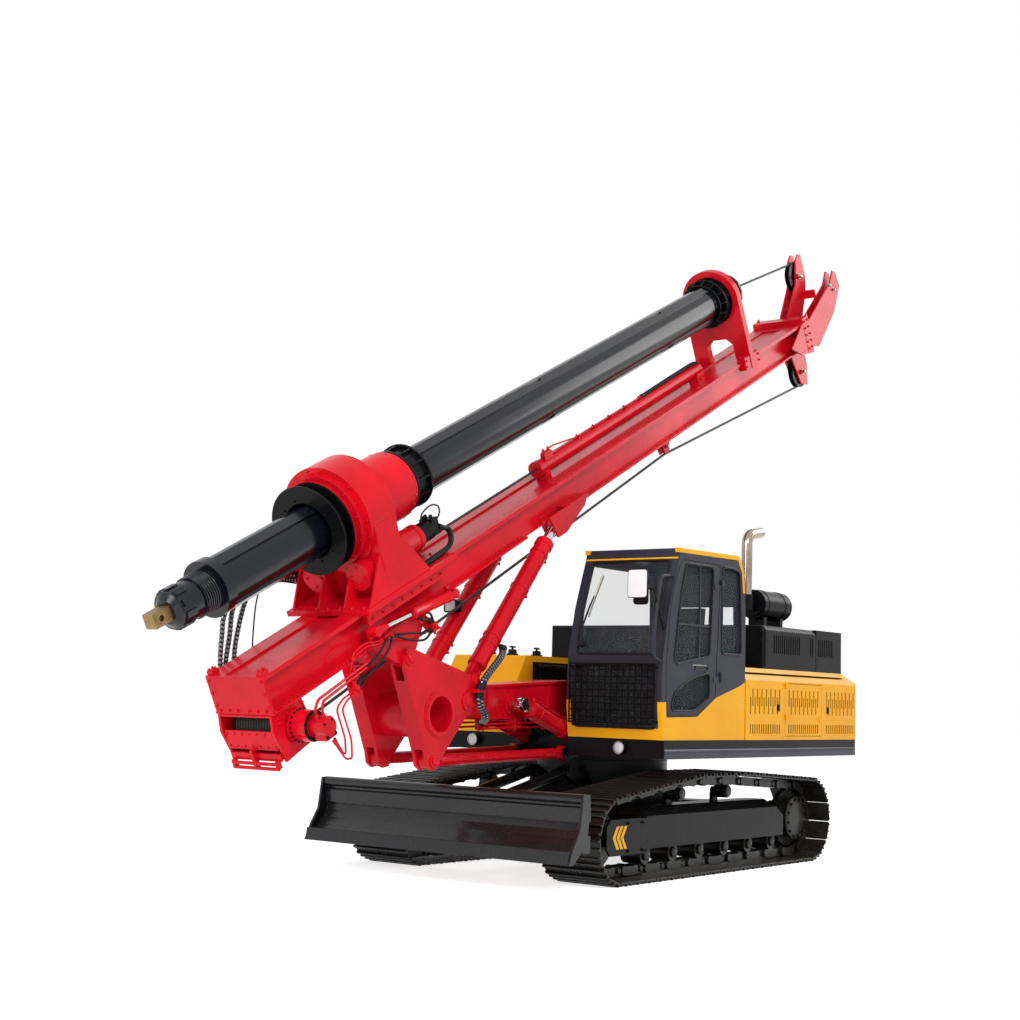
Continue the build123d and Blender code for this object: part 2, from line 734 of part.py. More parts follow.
def hood_slots(x0, x1):
    """Pressed slots of both flanks between two distances, none of them over the split."""
    cuts = []
    for first, last in hood_slot_groups:
        for k in range(int((last - first) / low_slot_pitch)):
            x = first + k * low_slot_pitch
            if x0 + 40 < x and x + slot_width < x1 - 40:
                for y0, y1 in ((hood_half - 6, hood_half + 1), (-hood_half - 1, -hood_half + 6)):
                    cuts.append(box(x, x + slot_width, y0, y1, *hood_slot_row))
    return cuts


def knuckles(shift):
    """Hinge knuckles of the lid's front edge, each on a small foot."""
    shape = []
    for y in (-700.0, 640.0):
        shape.append(bar_y(hinge_knuckle, y + shift, y + shift + 58, hood_split, hood_high + hinge_knuckle))
    return shape


front_hood, hollow_front = hood_shell(hood_split + 5, hood_front)
front_hood = fillet(front_hood.faces().sort_by(Axis.X)[-1].edges().sort_by(Axis.Z)[-3:], 40.0)
front_hood = front_hood - hollow_front - hood_slots(hood_split + 5, hood_front)
lid, hollow_lid = hood_shell(hood_rear, hood_split - 5)
lid = fillet(lid.faces().sort_by(Axis.X)[0].edges().sort_by(Axis.Z)[-3:], 60.0)
lid = lid - hollow_lid - hood_slots(hood_rear, hood_split - 5)
front_hood += box(hood_split + 6, hood_split + 60, -640, -584, hood_high - 5, hood_high + 6)
front_hood += box(hood_split + 6, hood_split + 60, 700, 756, hood_high - 5, hood_high + 6)
front_hood += knuckles(60.0)
lid += box(hood_split - 60, hood_split - 6, -699, -643, hood_high - 5, hood_high + 6)
lid += box(hood_split - 60, hood_split - 6, 641, 697, hood_high - 5, hood_high + 6)
lid += knuckles(0.0)
keep("hood_front", front_hood)
keep("hood_lid", lid)
muffler_y = 900.0
muffler_z = hood_high + muffler_rise
muffler = bar_x(muffler_radius, -1980.0, -1390.0, muffler_y, muffler_z)
for x0, x1 in ((-2010.0, -1979.0), (-1391.0, -1360.0)):
    muffler += bar_x(muffler_radius - 26, x0, x1, muffler_y, muffler_z)
for x in (-1860.0, -1500.0):
    muffler += bar_x(muffler_radius + 5, x - 20, x + 20, muffler_y, muffler_z)
    muffler += box(x - 30, x + 30, muffler_y - 90, muffler_y + 90, hood_high,
                   muffler_z - muffler_radius * 0.7)
stack_x = -1255.0
muffler += bar_x(50.0, -1361.0, stack_x, muffler_y, muffler_z)
muffler += bar_z(stack_radius + 12, muffler_z - 70, muffler_z + 90, stack_x, muffler_y)
keep("muffler", muffler)
stack_route = FilletPolyline((stack_x, muffler_y, muffler_z + 90), (stack_x, muffler_y, stack_top - 30),
                             (stack_x - 290, muffler_y, stack_top + 20), radius=120)
stack = sweep(Plane(origin=stack_route @ 0, z_dir=stack_route % 0) * Circle(stack_radius), path=stack_route)
hollow = sweep(Plane(origin=stack_route @ 0, z_dir=stack_route % 0) * Circle(stack_radius - 6),
               path=stack_route)
stack = stack - hollow
keep("exhaust_stack", stack)

# Tank box on the right, with two filler caps, and the grille box behind it
tank = plate([(tank_front_x, skirt_high), (tank_front_x, tank_high - 330), (tank_front_x - 190, tank_high),
              (tank_rear_x + 330, tank_high), (tank_rear_x + 330, skirt_high)], -body_half, tank_inner_y)
for x in (330.0, -90.0):
    tank += bar_z(55.0, tank_high - 2, tank_high + 26, x, -900)
    tank += bar_z(38.0, tank_high + 24, tank_high + 58, x, -900)
keep("tank_box", tank)
grille = box(house_front_x + 4, tank_rear_x + 326, -body_half + 10, tank_inner_y, skirt_high, body_high)
keep("grille_box", grille)


# Cab: yellow base, charcoal panels around a hollow, roof with its yellow band, glass, door, grid guard, seat
cab_profile = [(1170, 1229), (1205, 1500), (1212, 1740), (1195, 2003), (1162, 2135), (1105, 2400),
               (1012, 2675),
               (945, 2860), (928, 2925), (-190, 2925), (-267, 2837), (-300, 2627), (-315, 2300), (-315, 1229)]
paint_line = [(-330, 1783), (-195, 1732), (239, 1620), (584, 1441), (1124, 1430), (1129, 1565), (1230, 1565),
              (1230, 1220), (-330, 1220)]
roof_band_line = [(961, 2959), (-175, 2978), (-267, 2837), (-296, 2627), (-256, 2627), (-230, 2818),
                  (-152, 2936),
                  (948, 2919)]


def shrink(points, amount):
    """An outline moved inwards by a distance, corner by corner."""
    area = sum(a[0] * b[1] - b[0] * a[1] for a, b in zip(points, points[1:] + points[:1]))
    sign = 1 if area > 0 else -1
    out = []
    for i, (x, z) in enumerate(points):
        (ax, az), (bx, bz) = points[i - 1], points[(i + 1) % len(points)]
        da, db = math.hypot(x - ax, z - az), math.hypot(bx - x, bz - z)
        na = (-(z - az) / da * sign, (x - ax) / da * sign)
        nb = (-(bz - z) / db * sign, (bx - x) / db * sign)
        k = 1 + na[0] * nb[0] + na[1] * nb[1]
        out.append((x + (na[0] + nb[0]) / k * amount, z + (na[1] + nb[1]) / k * amount))
    return out


def clip(shape, low, high):
    return shape & box(-4000, 4000, -3000, 3000, low, high)


cab_out_y = body_half - 6.0
outer = plate(cab_profile, cab_inner_y, cab_out_y)
inner = plate(shrink(cab_profile, cab_skin), cab_inner_y + cab_skin, cab_out_y - cab_skin)
shell = outer - inner
door_line = [(1100, 1443), (1129, 1578), (1140, 1876), (1083, 2401), (985, 2700), (915, 2815), (850, 2862),
             (190, 2862), (206, 2372), (235, 1974), (252, 1620), (584, 1448)]
shell -= plate(door_line, cab_out_y - door_thick, cab_out_y + 1)
shell -= plate(shrink(door_line, 6.0 + door_lip), cab_out_y - cab_skin - 1, cab_out_y - door_thick + 1)
window_y = (cab_inner_y + cab_post + 22, cab_out_y - cab_post - 22)
shell -= box(600, 1500, *window_y, 1990, 2850)
shell -= box(900, 1500, *window_y, 1330, 1890)
side_window = [(1100, 1960), (1075, 2180), (1030, 2400), (950, 2640), (880, 2830), (-180, 2830), (-225, 2600),
               (-235, 1960)]
shell -= plate(side_window, cab_inner_y - 1, cab_inner_y + cab_skin + 1)
rear_window = (-330.0, -260.0)
shell -= box(*rear_window, cab_inner_y + 110, cab_out_y - 110, 2010, 2600)
quarter_line = [(150, 2030), (150, 2850), (-90, 2850), (-190, 2815), (-235, 2034)]
shell -= plate(quarter_line, cab_out_y - cab_skin - 1, cab_out_y + 1)
bands = [plate(roof_band_line, y, y + 40) for y in (cab_inner_y - 0.5, cab_out_y - 39.5)]
shell -= bands
sides = (cab_inner_y + cab_skin, cab_out_y - cab_skin)
low_part = plate(paint_line, cab_inner_y - 5, cab_out_y + 5)
middle = shell & box(-400, 1300, *sides, 1200, 3000)
left = shell & box(-400, 1300, sides[1], cab_out_y + 5, 1200, 3000)
right = shell & box(-400, 1300, cab_inner_y - 5, sides[0], 1200, 3000)
base = clip(middle, 1200, 1330) + (left & low_part) + (right & low_part)
walls = clip(middle, 1330, 2872)
keep("cab_base", base)
keep("cab_left", left - low_part)
keep("cab_right", right - low_part)
keep("cab_front", walls & box(400, 1300, -3000, 3000, 1200, 3000))
keep("cab_rear", walls & box(-400, 400, -3000, 3000, 1200, 3000))
roof = plate([(930, 2925), (915, 2960), (-170, 2974), (-215, 2925)], cab_inner_y + 39.5, cab_out_y - 39.5)
keep("cab_roof", roof + clip(middle, 2872, 2930))
keep("roof_band", Compound(children=bands))

glass = []
pane = plate(shrink(cab_profile, 14.0), *window_y) - plate(shrink(cab_profile, 22.0), *window_y)
pane = pane & box(600, 1300, -3000, 3000, 1200, 3000)
glass.append(clip(pane, 1990, 2850))
glass.append(clip(pane, 1330, 1890))
glass.append(plate(side_window, cab_inner_y + 18, cab_inner_y + 26))
glass.append(box(-300, -292, cab_inner_y + 110, cab_out_y - 110, 2010, 2600))
glass.append(plate(quarter_line, cab_out_y - 26, cab_out_y - 18))
keep("cab_glass", Compound(children=glass))

door_shape = plate(shrink(door_line, 6.0), cab_out_y - door_thick, cab_out_y)
upper_window = [(373, 1996), (964, 1908), (1004, 1959), (951, 2277), (885, 2625), (814, 2831), (358, 2835),
                (316, 2805)]
lower_window = [(369, 1847), (362, 1618), (639, 1493), (1026, 1489), (1041, 1554), (981, 1659), (778, 1755),
                (596, 1814)]
for line in (upper_window, lower_window):
    door_shape -= plate(line, cab_out_y - door_thick - 1, cab_out_y + 1)
door_shape += plate([(340, 2264), (960, 2264), (960, 2280), (340, 2280)], cab_out_y - 15, cab_out_y - 1)
door_shape += plate([(545, 1950), (561, 1950), (561, 2840), (545, 2840)], cab_out_y - 14, cab_out_y - 2)
door_shape += box(410, 652, cab_out_y - 1, cab_out_y + 20, 1866, 1905)
door_shape -= box(430, 632, cab_out_y + 8, cab_out_y + 21, 1875, 1896)
frame_left = nodes["cab_left"]
hinge_y = cab_out_y + cab_door_axis_out
for z in (1760.0, 2620.0):
    for x0, x1, z0, z1 in ((cab_door_axis_x, 300, z, z + 50),
                           (cab_door_axis_x - 60, cab_door_axis_x, z + 51, z + 100)):
        knuckle = bar_z(hinge_knuckle - 2, z0, z1, cab_door_axis_x, hinge_y)
        knuckle += box(x0, x1, cab_out_y, cab_out_y + 7, z0, z1)
        if x1 > cab_door_axis_x:
            door_shape += knuckle
        else:
            frame_left += knuckle
keep("cab_left", frame_left)
keep("cab_door", door_shape)
keep("door_glass", Compound(children=[plate(line, cab_out_y - 24, cab_out_y - 16)
                                      for line in (upper_window, lower_window)]))


def seat():
    mid = (cab_inner_y + cab_out_y) / 2
    shape = box(-40, 420, mid - 240, mid + 240, 1640, 1760)
    shape += plate([(20, 1740), (-90, 2320), (-190, 2320), (-80, 1740)], mid - 220, mid + 220)
    shape += plate([(-105, 2310), (-125, 2480), (-205, 2480), (-185, 2310)], mid - 130, mid + 130)
    shape += box(-60, 330, mid - 200, mid + 200, 1275, 1650)
    return shape


def consoles():
    mid = (cab_inner_y + cab_out_y) / 2
    shape = None
    for d in (-1, 1):
        a, b = sorted((mid + d * 260, mid + d * 340))
        one = box(-20, 500, a, b, 1275, 1860) + bar_z(16.0, 1850, 2010, 430, (a + b) / 2)
        one += Pos(430, (a + b) / 2, 2030) * Sphere(34)
        shape = one if shape is None else shape + one
    for d in (-1, 1):
        shape += bar_z(14.0, 1280, 1800, 880, mid + d * 90)
        shape += box(800, 960, mid + d * 90 - 50, mid + d * 90 + 50, 1275, 1300)
    return shape


keep("cab_seat", seat())
keep("cab_consoles", consoles())

grid_x = 1240.0
guard_y = (cab_inner_y + 52, cab_out_y - 52)
grid = box(grid_x, grid_x + 14, *guard_y, 1360, 1374) + box(grid_x, grid_x + 14, *guard_y, 1890, 1904)
for k in range(15):
    y = guard_y[0] + (guard_y[1] - guard_y[0] - 12) * k / 14
    grid += box(grid_x + 2, grid_x + 12, y, y + 12, 1362, 1902)
for k in range(1, 9):
    z = 1360 + 544 * k / 9 - 6
    grid += box(grid_x + 3, grid_x + 11, *guard_y, z, z + 11)
for z in (1385.0, 1860.0):
    for y in guard_y:
        grid += box(1180, grid_x + 4, y - 5, y + 9, z, z + 14)
mirror_y = cab_out_y - 30
mirror_body = fillet(box(1330, 1362, mirror_y - 190, mirror_y - 50, 2420, 2700).edges().filter_by(Axis.X),
                     30.0)
mirror_body += strut(10.0, (1140, mirror_y, 2200), (1330, mirror_y, 2560))
mirror_body += strut(10.0, (1330, mirror_y + 6, 2560), (1340, mirror_y - 120, 2570))
trim = [grid - nodes["cab_front"] - nodes["cab_left"] - nodes["cab_right"] - base,
        mirror_body - nodes["cab_left"] - nodes["cab_front"]]
keep("cab_trim", Compound(children=trim))


# Boom: a box with a wider top flange, from the deck to the bracket
def boom():
    (fx, fz), (tx, tz) = boom_foot, boom_tip
    top = boom_depth * 0.52
    low = boom_depth * 0.48
    side = [(fx - 60, fz - 90), (fx + 250, fz - low), (tx - 420, tz - low), (tx - 90, tz - 100),
            (tx - 90, tz + 90),
            (tx - 200, tz + top - 40), (fx + 200, fz + top), (fx - 60, fz + 90)]
    shape = plate(side, -boom_half, boom_half)
    shape += bar_y(boom_eye_radius, -boom_half, boom_half, fx, fz)
    shape += bar_y(boom_eye_radius, -boom_half, boom_half, tx, tz)
    flange = [(fx + 200, fz + top - 3), (tx - 200, tz + top - 43), (tx - 200, tz + top - 19),
              (fx + 200, fz + top + 18)]
    shape += plate(flange, -boom_flange, boom_flange)
    shape += plate([(fx + 260, fz - low - 14), (tx - 430, tz - low - 14), (tx - 430, tz - low + 6),
                    (fx + 260, fz - low + 6)], -boom_half - 14, boom_half + 14)
    for x, rise in ((1180.0, 0.0), (2120.0, -8.0)):
        z = fz + (tz - fz) * (x - fx) / (tx - fx)
        shape += box(x - 9, x + 9, -boom_half - 16, boom_half + 16, z - low + 4, z + top - 24 + rise)
    shape += bar_y(128.0, -boom_half - 10, boom_half + 10, *luff_eye)
    shape += bar_y(95.0, -boom_half - 28, boom_half + 28, *luff_eye)
    shape += bar_y(62.0, -boom_half - 56, boom_half + 56, *luff_eye)
    for x, z in (boom_foot, boom_tip):
        shape -= bar_y(boom_pin_radius + pin_gap, -boom_half - 1, boom_half + 1, x, z)
    return shape


keep("boom", boom())

# Tie rods, parallel to the boom
tie_front = (boom_tip[0] + tie_offset[0], boom_tip[1] + tie_offset[1])


def tie_rod(y):
    reach = tie_eye_radius * 0.8
    length = span(tie_foot, tie_front)
    rod = bar_between(tie_radius, along(tie_foot, tie_front, reach),
                      along(tie_foot, tie_front, length - reach), y)
    half = lug_slot / 2 - 5.0
    for x, z in (tie_foot, tie_front):
        rod += bar_y(tie_eye_radius, y - half, y + half, x, z)
        rod -= bar_y(tie_pin_radius + pin_gap, y - half - 1, y + half + 1, x, z)
    cut = tie_eye_radius + 62
    for x, z in (tie_foot, tie_front):
        for d in (-1, 1):
            a, b = sorted((y + d * half, y + d * 70))
            rod -= box(x - cut, x + cut, a, b, z - cut, z + cut)
    return rod


keep("tie_rods", Compound(children=[tie_rod(tie_y), tie_rod(-tie_y)]))

# Luffing cylinders
barrels, rods = [], []
for y in (luff_y, -luff_y):
    one, two = cylinder(luff_foot, luff_eye, y, luff_radius, luff_rod_radius, 850.0, 66.0, luff_pin_radius,
                        62.0, 80.0,
                        300.0)
    near, far = y - math.copysign(66, y), y + math.copysign(46, y)
    two += bar_y(luff_pin_radius, *sorted((near, far)), *luff_eye)
    two += bar_y(luff_pin_radius + 16, *sorted((far, far + math.copysign(12, y))), *luff_eye)
    barrels.append(one)
    rods.append(two)
keep("luff_cylinder_barrels", Compound(children=barrels))
keep("luff_cylinder_rods", Compound(children=rods))


# Bracket: two box cheeks on a cross tube, with slotted lugs for mast, boom, tie rods and tilt cylinders
def bracket():
    cheek = [(mast_hinge[0] - 75, mast_hinge[1] + 70), (mast_hinge[0] + 20, mast_hinge[1] + 78),
             (mast_hinge[0] + 82, mast_hinge[1] + 10), (mast_hinge[0] + 62, mast_hinge[1] - 90),
             (tie_front[0] + 105, tie_front[1] + 60), (tie_front[0] + 80, tie_front[1] - 40),
             (tie_front[0] + 20, tie_front[1] - 76), (tie_front[0] - 50, tie_front[1] - 62),
             (tie_front[0] - 85, tie_front[1] + 10), (boom_tip[0] + 30, boom_tip[1] - 140),
             (boom_tip[0] - 70, boom_tip[1] - 95), (boom_tip[0] - 105, boom_tip[1]),
             (tilt_foot[0] - 68, tilt_foot[1]), (tilt_foot[0] - 20, tilt_foot[1] + 66),
             (tilt_foot[0] + 60, tilt_foot[1] + 50)]
    hole = (2990.0, 1410.0)
    shape = None
    for d in (1, -1):
        a, b = sorted((d * bracket_inner, d * bracket_outer))
        mid = d * (bracket_inner + bracket_outer) / 2
        one = plate(cheek, a, b)
        half = lug_slot / 2
        one -= box(tie_front[0] - 160, tie_front[0] + 120, mid - half, mid + half, tie_front[1] - 90,
                   tie_front[1] + 95)
        one -= plate([(tilt_foot[0] - 140, tilt_foot[1] - 88), (tilt_foot[0] + 170, tilt_foot[1] - 88),
                      (tilt_foot[0] + 170, tilt_foot[1] + 200), (tilt_foot[0] - 140, tilt_foot[1] + 200)],
                     mid - half, mid + half)
        one -= box(mast_hinge[0] - 130, mast_hinge[0] + 120, mid - mast_lug_width / 2 - 5,
                   mid + mast_lug_width / 2 + 5, mast_hinge[1] - 185, mast_hinge[1] + 100)
        shape = one if shape is None else shape + one
    shape += bar_y(bracket_tube_radius, -bracket_outer - 16, bracket_outer + 16, *hole)
    shape += bar_y(bracket_tube_radius + 16, -bracket_outer - 8, bracket_outer + 8, *hole)
    shape -= bar_y(bracket_hole_radius, -bracket_outer - 60, bracket_outer + 60, *hole)
    # pins with their bosses on the outer faces
    shape += bar_y(boom_pin_radius, -bracket_outer - 20, bracket_outer + 20, *boom_tip)
    for d in (1, -1):
        for (x, z), r, boss in ((mast_hinge, mast_pin_radius, 62.0), (tie_front, tie_pin_radius, 54.0),
                                (tilt_foot, tilt_pin_radius, 58.0), (boom_tip, boom_pin_radius, 78.0)):
            shape += bar_y(boss, *sorted((d * (bracket_outer - 1), d * (bracket_outer + 12))), x, z)
            if r != boom_pin_radius:
                shape += bar_y(r, *sorted((d * (bracket_inner - 6), d * (bracket_outer + 20))), x, z)
    return shape


keep("bracket", bracket())

# Tilt cylinders
barrels, rods = [], []
for y in (tilt_y, -tilt_y):
    one, two = cylinder(tilt_foot, tilt_eye, y, tilt_radius, tilt_rod_radius, tilt_barrel_length, 72.0,
                        tilt_pin_radius, 66.0, 165.0, 420.0)
    two += bar_y(tilt_pin_radius, y - 44, y + 44, *tilt_eye)
    barrels.append(one)
    rods.append(two)
keep("tilt_cylinder_barrels", Compound(children=barrels))
keep("tilt_cylinder_rods", Compound(children=rods))
lamp_at = along(tilt_foot, tilt_eye, 840.0)
lamp_body = fillet(box(-45, 45, -70, 70, -60, 60).edges().filter_by(Axis.X), 24.0)
lamp_body -= box(38, 46, -58, 58, -48, 48)
lamp_body = Pos(lamp_at[0] + 120, -tilt_y, lamp_at[1] + 30) * lamp_body
lamp_body += box(lamp_at[0] + 40, lamp_at[0] + 100, -tilt_y - 12, -tilt_y + 12, lamp_at[1] - 20,
                 lamp_at[1] + 10)
keep("work_lamp", lamp_body - bar_between(tilt_radius, tilt_foot, tilt_eye, -tilt_y))


# Mast, drawn in its own frame
hinge_s, hinge_t = mast_frame(mast_hinge)
eye_s, eye_t = mast_frame(tilt_eye)


def mast():
    shape = box(mast_low, mast_high, -mast_half, mast_half, mast_deep, mast_face)
    shape += box(mast_low, mast_high, -rail_half, rail_half, mast_face - 1, rail_front)
    shape += box(mast_low, mast_high, -rail_half + 40, rail_half - 40, mast_deep - 18, mast_deep + 1)
    shape -= box(mast_low - 1, mast_high - 300, -120, 120, rail_front - 16, rail_front + 1)
    shape += box(mast_low, mast_low + 22, -rail_half, rail_half, mast_deep - 18, rail_front + 4)
    for d in (1, -1):
        shape += box(mast_low + 21, mast_low + 90, *sorted((d * (rail_half - 70), d * (rail_half - 6))),
                     rail_front - 1, rail_front + 34)
        shape += box(mast_low, 1150, *sorted((d * (rail_half - 42), d * (rail_half + 14))), mast_deep - 18,
                     mast_deep - 2)
    # hinge lugs under the foot
    for d in (1, -1):
        mid = d * (bracket_inner + bracket_outer) / 2
        half = mast_lug_width / 2
        lug = plate([(hinge_s - 380, mast_deep + 3), (hinge_s + 420, mast_deep + 3),
                     (hinge_s + 70, hinge_t - 40),
                     (hinge_s - 60, hinge_t - 48)], mid - half, mid + half)
        lug += bar_y(78.0, mid - half, mid + half, hinge_s, hinge_t)
        lug += box(hinge_s - 380, hinge_s + 420, min(mid - half, d * 190), max(mid + half, d * 190),
                   mast_deep - 17, mast_deep + 20)
        lug -= bar_y(mast_pin_radius + pin_gap, mid - half - 1, mid + half + 1, hinge_s, hinge_t)
        shape += lug
    for d in (1, -1):
        a, b = sorted((d * mast_half, d * rail_half))
        shape -= box(eye_s - 420, eye_s + 420, a, b, mast_deep - 19, mast_deep + 2)
    # forks for the tilt cylinders, open along the way of the rods' eyes
    for d in (1, -1):
        for off in (-58.0, 58.0):
            mid = d * tilt_y + off
            fork = plate([(eye_s - 120, mast_deep + 60), (eye_s + 560, mast_deep + 60),
                          (eye_s + 470, mast_deep - 30),
                          (eye_s + 90, eye_t - 90), (eye_s - 60, eye_t - 90), (eye_s - 90, eye_t + 20)],
                         mid - 11, mid + 11)
            shape += fork
        a, b = sorted((d * 150, d * (tilt_y + 69)))
        shape += box(eye_s + 185, eye_s + 560, a, b, mast_deep + 40, mast_deep + 62)
    return shape


mast_shape = mast()


# Winch frame under the mast's foot, its drum, reducer and guard pipes
def winch_frame():
    shape = None
    for d in (-1, 1):
        a, b = sorted((d * 262, d * 286))
        cheek = plate([(mast_low - 10, mast_deep - 18.5), (mast_low + 330, mast_deep - 18.5),
                       (mast_low + 360, -1200),
                       (mast_low + 300, -1380), (mast_low + 10, -1405), (mast_low - 40, -1150)], a, b)
        shape = cheek if shape is None else shape + cheek
    shape += box(mast_low - 10, mast_low + 330, -286, 286, mast_deep - 34, mast_deep - 18.5)
    shape += box(mast_low - 22, mast_low - 4, -264, 264, -1390, -1330)
    shape += box(mast_low + 30, mast_low + 300, -264, 264, -1398, -1382)
    for t in (-1440.0, -1400.0):
        shape += bar_y(14.0, -240, 240, mast_low - 50, t)
    for w in (-230.0, 0.0, 230.0):
        shape += box(mast_low - 60, mast_low - 10, w - 8, w + 8, -1446, -1376)
    shape -= bar_y(40.0 + pin_gap, -300, 300, drum_s, drum_t)
    return shape


drum = bar_y(drum_radius, -225, 225, drum_s, drum_t)
for k in range(12):
    w = -205 + k * 37.0
    drum += bar_y(drum_radius + 12, w - 11, w + 11, drum_s, drum_t)
for d in (-1, 1):
    a, b = sorted((d * 225, d * 247))
    drum += bar_y(drum_flange - 12, a, b, drum_s, drum_t)
drum += bar_y(40.0, -285, 285, drum_s, drum_t)
keep("winch_drum", on_mast(drum))
motor = bar_y(120.0, -470, -285, drum_s, drum_t) - bar_y(42.0, -300, -280, drum_s, drum_t)
motor += bar_y(132.0, -330, -305, drum_s, drum_t) + bar_y(75.0, -620, -468, drum_s, drum_t)
motor += box(drum_s - 60, drum_s + 60, -610, -500, drum_t - 95, drum_t + 60)
keep("winch_frame", on_mast(winch_frame() + motor))

# Rope block under the mast
block = plate([(6400, mast_deep - 17), (6620, mast_deep - 17), (6540, -1215), (6450, -1225)], -40, -19)
block += plate([(6400, mast_deep - 17), (6620, mast_deep - 17), (6540, -1215), (6450, -1225)], 19, 40)
block += bar_y(70.0, -20, 20, 6490, -1150) + bar_y(16.0, -50, 50, 6490, -1150)
keep("mast", on_mast(mast_shape + block))


# Mast head: end plates and two arms that hold the sheaves
def head():
    (fs, ft), (rs, rt) = head_sheave, rear_sheave
    shape = box(mast_high - 120, mast_high + 30, -rail_half - 30, rail_half + 30, mast_deep - 60,
                rail_front + 60)
    shape -= box(mast_high - 121, mast_high + 1, -rail_half - 1, rail_half + 1, mast_deep - 19,
                 rail_front + 1)
    for d in (-1, 1):
        a, b = sorted((d * (mast_half + 100), d * (mast_half + 122)))
        shape += plate([(mast_high - 520, -900), (mast_high + 30, -620), (mast_high + 30, -1100),
                        (mast_high - 300, -1040)],
                       a, b)
        mid = d * (sheave_width / 2 + clearance + 10)
        front = [(mast_high + 10, -880), (mast_high + 10, -700), (fs - 90, ft - 60), (fs + 20, ft + 190),
                 (fs + 110, ft + 250), (fs + 175, ft + 230), (fs + 190, ft - 40), (fs + 120, ft - 220),
                 (mast_high + 330, -880)]
        shape += plate(front, mid - 10, mid + 10)
        rear = [(mast_high + 10, -840), (mast_high + 250, -820), (rs + 190, rt + 60), (rs + 90, rt - 190),
                (rs - 60, rt - 130), (rs - 140, rt + 130), (mast_high - 60, mast_deep - 59),
                (mast_high + 10, mast_deep - 50)]
        shape += plate(rear, mid - 10, mid + 10)
    for s, t in (head_sheave, rear_sheave):
        shape += bar_y(24.0, -72, 72, s, t)
    # side arm on the cab's side, with its own plates
    tip = (10800.0, -400.0)
    for w0 in (-292.0, -202.0):
        arm = plate([(mast_high + 10, -1010), (mast_high + 20, -760), (tip[0] - 160, tip[1] - 70),
                     (tip[0] - 20, tip[1] + 60),
                     (tip[0] + 45, tip[1] + 20), (tip[0] + 90, tip[1] - 160), (tip[0] - 200, tip[1] - 420),
                     (mast_high + 260, -1090)], w0, w0 + 20)
        shape += arm
    shape += box(10350, 10380, -202 + 1, 60, -560, -460)
    shape += box(tip[0] - 420, tip[0] - 400, -273, -201, -760, -640)
    return shape


keep("mast_head", on_mast(head()))


def sheave(centre):
    s, t = centre
    half = sheave_width / 2
    profile = [(24.0 + pin_gap, -half), (sheave_radius, -half), (sheave_radius, -half + 8),
               (sheave_radius - 34, -9),
               (sheave_radius - 34, 9), (sheave_radius, half - 8), (sheave_radius, half),
               (24.0 + pin_gap, half)]
    face = make_face(Polyline([(r, w, 0) for r, w in profile], close=True))
    wheel = revolve(face, Axis.Y)
    wheel -= Pos(0, half, 0) * Rot(90, 0, 0) * Cylinder(sheave_radius - 62, 18) + \
        Pos(0, -half, 0) * Rot(90, 0, 0) * Cylinder(sheave_radius - 62, 18)
    wheel += Rot(90, 0, 0) * Cylinder(50, sheave_width)
    wheel -= Rot(90, 0, 0) * Cylinder(24.0 + pin_gap, sheave_width + 2)
    return Pos(s, 0, t) * wheel


keep("head_sheave", on_mast(sheave(head_sheave)))
keep("rear_sheave", on_mast(sheave(rear_sheave)))


